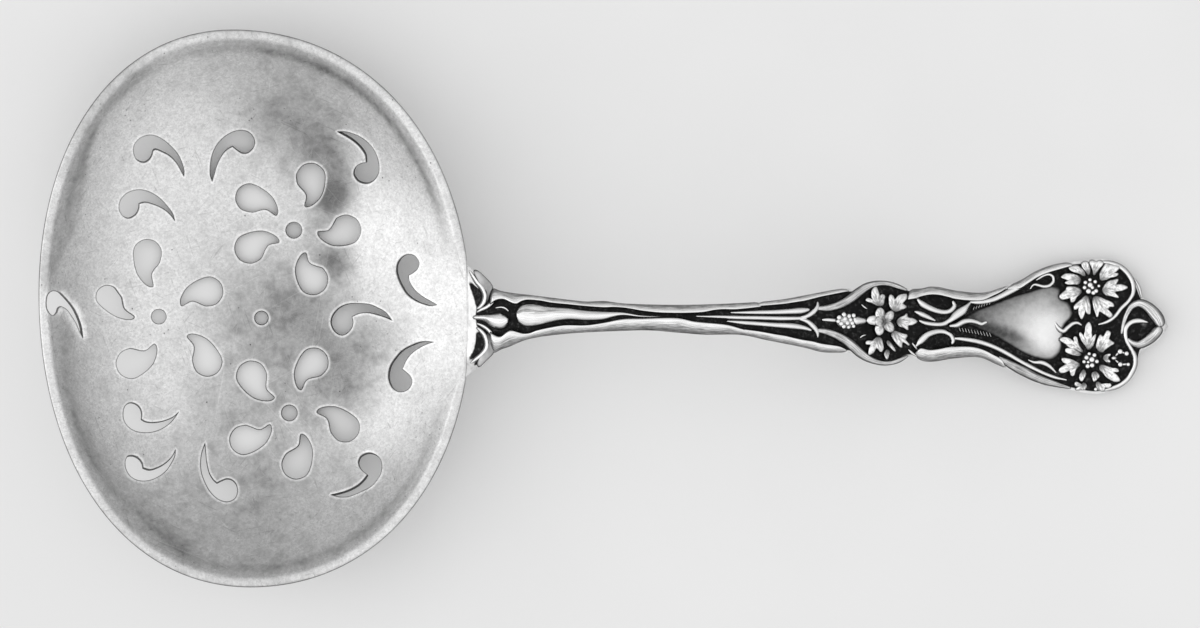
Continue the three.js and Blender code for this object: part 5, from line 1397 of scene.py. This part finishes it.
# The board partly glows at an even level where the camera and the metal's reflections see it, which
# lightens the shadows on it; this painted light is strongest to the left of the bowl, where it stands in
# for the window's light coming in under the bowl.

floorFinish = {
    "tones": (0.795, 0.825),
    "roughness": 0.9,
    "glowLevel": 0.8,
    "paintedLightShare": (0.05, 0.65),
    "paintedLightTowards": (-0.85, -0.5, 0.0),
    "paintedLightFrom": 28.0,
    "paintedLightTo": 54.0,
}


def floorMaterial():
    look = floorFinish
    material, tree, shader = newMaterial("paleBoard", 0.0)
    place = placeInMm(tree)
    tone = between(tree, noiseOf(tree, place, 0.02, 3.0), 0.3, 0.7, look["tones"])
    normal = bump(tree, noiseOf(tree, place, 1.5, 4.0), 0.02, 0.3)
    fill(tree, shader, {"Base Color": grey(tree, tone), "Roughness": look["roughness"], "Normal": normal})
    rays = node(tree, "ShaderNodeLightPath").outputs
    seen = math2(tree, "ADD", rays["Is Camera Ray"], rays["Is Glossy Ray"], clamp=True)
    seen = math2(tree, "ADD", seen, rays["Is Transmission Ray"], clamp=True)
    # Painted light: the glowing share grows towards the lower left
    inputs = {0: place, 1: look["paintedLightTowards"]}
    towards = node(tree, "ShaderNodeVectorMath", inputs, operation="DOT_PRODUCT").outputs["Value"]
    share = between(tree, towards, look["paintedLightFrom"], look["paintedLightTo"], look["paintedLightShare"])
    floorGlow = node(tree, "ShaderNodeEmission", {"Color": (look["glowLevel"],) * 3 + (1,), "Strength": 1.0})
    inputs = {0: math2(tree, "MULTIPLY", seen, share), 1: shader.outputs[0], 2: floorGlow.outputs[0]}
    mixed = node(tree, "ShaderNodeMixShader", inputs)
    tree.links.new(mixed.outputs[0], tree.nodes["Material Output"].inputs["Surface"])
    return material


materials = {
    "bowl": bowlMaterial(),
    "relief": reliefMaterial(),
    "blank": blankMaterial(),
    "floor": floorMaterial(),
}
print("materials ready")


# Beads are set on points by geometry nodes, each as large as its point says. Each stands at its
# cluster's height over the ground, or else at the plain one. Its shine grows from the one at its middle
# by a slope.

beadForm = {
    "flatten": 0.7,
    "variation": 0.05,
    "fineness": 4,
    "shine": (1.1, 0.3),
    "height": 0.36,
    "heights": {"bud_beads": 0.42, "side_bud_beads": 0.4},
}


def beadTree():
    tree = bpy.data.node_groups.new("beadSetting", "GeometryNodeTree")
    kinds = {
        "Geometry": "NodeSocketGeometry", "Flatten": "NodeSocketFloat", "Variation": "NodeSocketFloat",
        "Seed": "NodeSocketInt", "Finish": "NodeSocketMaterial",
    }
    for label, kind in kinds.items():
        tree.interface.new_socket(label, in_out="INPUT", socket_type=kind)
    tree.interface.new_socket("Geometry", in_out="OUTPUT", socket_type="NodeSocketGeometry")
    given = node(tree, "NodeGroupInput").outputs
    size = node(tree, "GeometryNodeInputNamedAttribute", {"Name": "size"}, data_type="FLOAT")
    smallest = math2(tree, "SUBTRACT", 1.0, given["Variation"])
    largest = math2(tree, "ADD", 1.0, given["Variation"])
    inputs = {2: smallest, 3: largest, "Seed": given["Seed"]}
    chance = node(tree, "FunctionNodeRandomValue", inputs, data_type="FLOAT")
    across = math2(tree, "MULTIPLY", size.outputs["Attribute"], chance.outputs[1])
    height = math2(tree, "MULTIPLY", across, given["Flatten"])
    scale = node(tree, "ShaderNodeCombineXYZ", {"X": across, "Y": across, "Z": height})
    ball = node(tree, "GeometryNodeMeshIcoSphere", {"Radius": 1.0, "Subdivisions": beadForm["fineness"]})
    spot = node(tree, "GeometryNodeInputPosition").outputs[0]
    level = node(tree, "ShaderNodeSeparateXYZ", {0: spot}).outputs["Z"]
    slope, middle = beadForm["shine"]
    shine = math2(tree, "MULTIPLY_ADD", level, slope, middle, clamp=True)
    inputs = {"Geometry": ball.outputs["Mesh"], "Name": "lift", "Value": shine}
    marked = node(tree, "GeometryNodeStoreNamedAttribute", inputs, data_type="FLOAT")
    inputs = {"Points": given["Geometry"], "Instance": marked.outputs[0], "Scale": scale.outputs[0]}
    beads = node(tree, "GeometryNodeInstanceOnPoints", inputs)
    real = node(tree, "GeometryNodeRealizeInstances", {"Geometry": beads.outputs[0]})
    smooth = node(tree, "GeometryNodeSetShadeSmooth", {"Geometry": real.outputs[0]})
    inputs = {"Geometry": smooth.outputs[0], "Material": given["Finish"]}
    dressed = node(tree, "GeometryNodeSetMaterial", inputs)
    result = node(tree, "NodeGroupOutput")
    tree.links.new(dressed.outputs[0], result.inputs[0])
    return tree


def addBeads(name, spots, tree):
    lifted = beadForm["heights"].get(name, beadForm["height"])
    points = bpy.data.meshes.new(name + "Points")
    heights = [float(topAt(np.array(x), np.array(y))) + lifted for x, y, radius in spots]
    points.from_pydata([Vector((x, y, z)) * mm for (x, y, radius), z in zip(spots, heights)], [], [])
    sizes = [radius * relief["beadGrowth"] * mm for x, y, radius in spots]
    points.attributes.new("size", "FLOAT", "POINT").data.foreach_set("value", sizes)
    seed = addObject(name + "Points", points)
    modifier = seed.modifiers.new("setBeads", "NODES")
    modifier.node_group = tree
    sockets = {item.name: item.identifier for item in tree.interface.items_tree if item.in_out == "INPUT"}
    values = {
        "Flatten": beadForm["flatten"], "Variation": beadForm["variation"], "Seed": len(spots),
        "Finish": materials["relief"],
    }
    for label, value in values.items():
        modifier[sockets[label]] = value
    mesh = bpy.data.meshes.new_from_object(seed.evaluated_get(bpy.context.evaluated_depsgraph_get()))
    bpy.data.objects.remove(seed)
    piece = addObject(name, mesh)
    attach(piece, "root")
    return piece


# Build

def addRelief(name, parts):
    layers = {"lift": "FLOAT", "flow": "FLOAT_VECTOR"}
    return makePiece(name, parts, materials["relief"], layers)


def dimmed(part, share):
    part["lift"] = part["lift"] * share
    return part


makePiece("bowl", [bowlPart()], materials["bowl"], {"tarnishAndShade": "FLOAT"})
print("bowl ready")

makePiece("handle_blank", [blankPart()], materials["blank"], {"ground": "FLOAT"})
print("handle blank ready")

# Stems with a groove, stems with less shine, tendrils that lie on the shield, and small ribbons that
# belong to a larger piece
ridged = {"upper_main_stem", "lower_main_stem", "finial_outer", "lower_terminal_stem"}
greyed = {
    "upper_main_stem": 0.55,
    "lower_main_stem": 0.55,
    "lower_terminal_stem": 0.48,
    "finial_outer": 0.66,
    "finial_inner": 0.66,
}
onShield = {"vine_tendril", "shield_tendril"}
extraRibbons = {
    "lower_waist_strap": [
        [(33.95, -3.75, 0.05), (34.25, -4.1, 0.14), (34.7, -4.7, 0.05)],
        [(33.55, -4.5, 0.05), (34, -4.9, 0.16), (34.7, -5.4, 0.06)]],
    "neck_pod": [
        [(-14.2, -0.45, 0.08), (-13.6, -0.12, 0.2), (-13, 0.16, 0.24), (-12.5, 0.55, 0.22),
         (-12.1, 0.9, 0.08)],
        [(-14.2, -1.6, 0.08), (-13.5, -1.9, 0.2), (-12.9, -2.3, 0.24), (-12.4, -2.85, 0.22),
         (-12, -3.25, 0.08)]],
    "upper_lobe_rim": [[(58.75, 3.4, 0.05), (59.2, 2.7, 0.14), (59.5, 1.9, 0.14), (59.6, 1.15, 0.05)]],
    "bud": [
        [(28.3, 0.5, 0.05), (28.65, 0.2, 0.13), (29.05, -0.1, 0.05)],
        [(28.15, -3.3, 0.05), (28.45, -3.05, 0.13), (28.95, -2.88, 0.05)]],
}


def extras(name):
    return [ribbonPart(points, relief["vineRise"]) for points in extraRibbons.get(name, [])]


for name, (riseName, points) in ribbons.items():
    widen = relief["vineWiden"] if riseName == "vineRise" else 1.0
    line = [(x, y, half * widen) for x, y, half in points]
    groove = relief["groove"] if name in ridged else 0.0
    base = relief["overShield"] if name in onShield else 0.0
    stem = ribbonPart(line, relief[riseName], groove=groove, base=base)
    addRelief(name, [dimmed(stem, greyed.get(name, 1.0)), *extras(name)])
for name, lines in branches.items():
    addRelief(name, [ribbonPart(points, relief["vineRise"]) for points in lines])
for name, (side, riseName, points) in straps.items():
    # A neck strap is wider than it was drawn, and has a flare
    neckStrap = name.endswith("neck_strap")
    reach = side * relief["neckWiden"] if neckStrap else 0.0
    parts = [strapPart([(x, y - reach) for x, y in points], side, relief[riseName])]
    if neckStrap:
        flare = dimmed(petalPart(flares[0 if side > 0 else 1], relief["flareRise"], 0.1), 0.5)
        flare["flow"] = flare["flow"] * 0
        parts.append(flare)
    addRelief(name, [*parts, *extras(name)])
print("stems and straps ready")

for name, outlines in blossoms.items():
    addRelief(name, [petalPart(outline, relief["petalRise"]) for outline in outlines])
for name, centre in (("upper_blossom_heart", (53.95, 2.4)), ("lower_blossom_heart", (53.9, -5.7))):
    addRelief(name, [dimmed(padPart(circle(centre, 0.95), relief["bossRise"], 8), 0.12)])


# The leaf on the shank has closer steps up to its shoulder, and a dark vein along its upper half

leaf = {
    "start": -9.9,
    "shoulder": -8.5,
    "end": 6.2,
    "firstSteps": 16,
    "full": 0.6,
    "veinShare": 0.32,
    "veinWidth": 0.09,
    "veinDirt": 0.6,
    "veinFade": (-3.5, -6),
}


def leafPart():
    shoulder, end = leaf["shoulder"], leaf["end"]
    first = np.linspace(leaf["start"], shoulder, leaf["firstSteps"])[:-1]
    xs = np.concatenate([first, np.arange(shoulder, end, relief["step"]), [end]])
    lines = [throughPoints(side, 0.1) for side in (leafUpper, leafLower)]
    left, right = (np.column_stack([xs, np.interp(xs, line[:, 0], line[:, 1])]) for line in lines)
    part = bandPart(left, right, relief["stemRise"], full=leaf["full"])
    vein = np.exp(-((part["flow"][:, 1] - leaf["veinShare"]) / leaf["veinWidth"]) ** 2)
    vein = vein * ramp(part["points"][:, 0], *leaf["veinFade"])
    return dimmed(part, 1 - leaf["veinDirt"] * vein)


addRelief("shank_leaf", [leafPart()])


# The shield is smooth, so it has no strands. It is darker towards its narrow end and in a soft streak, and
# has a painted highlight at its lower right. A fringe of fine ticks lies on both sides of its narrow end:
# each row has the two ends of its first tick, the step to the next one and how many there are.

shield = {
    "rings": 26,
    "plain": 0.3,
    "wideShine": 0.18,
    "wideFrom": (40.5, 46.5),
    "paintedHighlight": 0.6,
    "paintedHighlightSpot": ((49.6, -2.8), (2.5, 2.3)),
    "streak": 0.5,
    "streakSpot": (44, -2.6),
    "streakSlope": -0.35,
    "streakWidth": 0.8,
    "streakFade": (48.5, 45.5),
    "tickRows": [
        ((39.2, -2.0), (39.45, -2.6), (0.34, -0.06), 11),
        ((41.0, 0.28), (40.8, -0.2), (0.3, 0.1), 7),
    ],
    "tickHalves": (0.05, 0.08),
    "tickShine": 0.42,
}


def shieldPart():
    outline = throughPoints(shieldOutline, 0.12, closed=True)
    part = padPart(outline, relief["shieldRise"], shield["rings"], power=2.4, edge=0.08)
    x, y = part["points"][:, 0], part["points"][:, 1]
    streakX, streakY = shield["streakSpot"]
    aside = y - streakY - shield["streakSlope"] * (x - streakX)
    streak = np.exp(-(aside / shield["streakWidth"]) ** 2) * ramp(x, *shield["streakFade"])
    shine = shield["plain"] + shield["wideShine"] * ramp(x, *shield["wideFrom"])
    # Painted highlight at the lower right
    shine = shine + shield["paintedHighlight"] * patch(x, y, *shield["paintedHighlightSpot"])
    part["flow"] = part["flow"] * 0
    return dimmed(part, shine * (1 - shield["streak"] * streak))


def tickParts():
    rise, (thin, thick) = relief["tickRise"], shield["tickHalves"]
    parts = []
    for (ax, ay), (bx, by), (stepX, stepY), count in shield["tickRows"]:
        for k in range(count):
            line = [(ax + stepX * k, ay + stepY * k, thin), (bx + stepX * k, by + stepY * k, thick)]
            parts.append(dimmed(ribbonPart(line, rise, base=rise), shield["tickShine"]))
    return parts


addRelief("shield", [shieldPart(), *tickParts()])

# The middle blossom's heart: each lobe's centre, its size, its turn and how much higher it stands
heartLobes = [
    ((30.42, -0.62), (0.56, 0.74), 0, 1), ((29.65, -1.3), (0.74, 0.54), 0, 1),
    ((31.4, -0.92), (0.52, 0.76), -0.7, 1), ((31.4, -1.98), (0.54, 0.74), 0.7, 1),
    ((30.35, -2.28), (0.54, 0.72), 0, 1), ((30.45, -1.42), (0.62, 0.68), 0, 1.35),
]
addRelief("mid_blossom_heart", [
    petalPart(circle(spot, 1, 20, size, turn), relief["heartRise"] * grow, 0.0, (30.85, -1.45), 5.0)
    for spot, size, turn, grow in heartLobes
])

budPad = dimmed(padPart(circle((26.75, -1.38), 1, 28, (1.25, 0.9)), relief["budRise"], 8), 0.5)
budTip = [(27.3, -1.38, 0.65), (28, -1.36, 0.55), (28.6, -1.35, 0.4), (29.1, -1.35, 0.2)]
addRelief("bud", [budPad, ribbonPart(budTip, relief["stemRise"]), *extras("bud")])
print("blossoms, shield and leaf ready")

beads = beadTree()
for name, spots in clusters.items():
    addBeads(name, spots, beads)
print("beads ready")


# Stage, light and camera: 9 pixels of a 1200 pixel wide picture make 1 mm, and the camera looks
# straight down. The sky is a soft studio: an even level, with soft patches of light that each have a
# direction, a strength and how tight they are.

stage = {
    "pictureWidth": 1200 / 9,
    "pictureCentre": (-0.5, -0.61),
    "cameraHeight": 1400.0,
    "floorSize": 900.0,
    "floorDrop": 0.02,
}
sky = {
    "level": 0.36,
    "patches": {
        "ceiling": ((0.05, 0.0, 1.0), 0.5, 3.5),
        "window": ((-0.9, -0.1, 0.45), 0.5, 3.0),
        "reflector": ((0.65, -0.7, 0.35), 0.4, 3.0),
        "east": ((0.9, 0.1, 0.45), 0.25, 3.0),
        "fill": ((0.0, 0.9, 0.4), 0.25, 3.0),
        "corner": ((-0.5, -0.75, 0.4), 0.25, 3.0),
    },
}
keyPanel = {"spot": (-760, 60, 330), "size": 700, "power": 0.9}


def addFloor():
    size = stage["floorSize"] * mm / 2
    mesh = bpy.data.meshes.new("floor")
    corners = [(-size, -size, 0), (size, -size, 0), (size, size, 0), (-size, size, 0)]
    mesh.from_pydata(corners, [], [(0, 1, 2, 3)])
    mesh.materials.append(materials["floor"])
    floor = addObject("floor", mesh)
    floor.location.z = -stage["floorDrop"] * mm


def addSky():
    world = bpy.data.worlds.new("studio")
    world.use_nodes = True
    tree = world.node_tree
    direction = node(tree, "ShaderNodeTexCoord").outputs["Generated"]
    light = sky["level"]
    for towards, strength, tight in sky["patches"].values():
        aim = tuple(Vector(towards).normalized())
        facing = node(tree, "ShaderNodeVectorMath", {0: direction, 1: aim}, operation="DOT_PRODUCT")
        falloff = math2(tree, "MULTIPLY_ADD", facing.outputs["Value"], tight, -tight)
        falloff = math2(tree, "EXPONENT", falloff)
        light = math2(tree, "MULTIPLY_ADD", falloff, strength, light)
    background = tree.nodes["Background"]
    tree.links.new(grey(tree, light), background.inputs["Color"])
    bpy.context.scene.world = world


def addKeyPanel():
    data = bpy.data.lights.new("keyPanel", "AREA")
    data.size = keyPanel["size"] * mm
    data.energy = keyPanel["power"]
    light = addObject("keyPanel", data)
    light.location = Vector(keyPanel["spot"]) * mm
    light.rotation_euler = (-light.location).to_track_quat("-Z", "Y").to_euler()


def addCamera():
    data = bpy.data.cameras.new("camera")
    data.sensor_width = 36.0
    data.lens = data.sensor_width * stage["cameraHeight"] / stage["pictureWidth"]
    data.clip_start, data.clip_end = 0.05, 10.0
    camera = addObject("camera", data)
    x, y = stage["pictureCentre"]
    camera.location = (x * mm, y * mm, stage["cameraHeight"] * mm)
    bpy.context.scene.camera = camera


addFloor()
addSky()
addKeyPanel()
addCamera()
bpy.context.scene.view_settings.view_transform = "Standard"
print("stage ready")
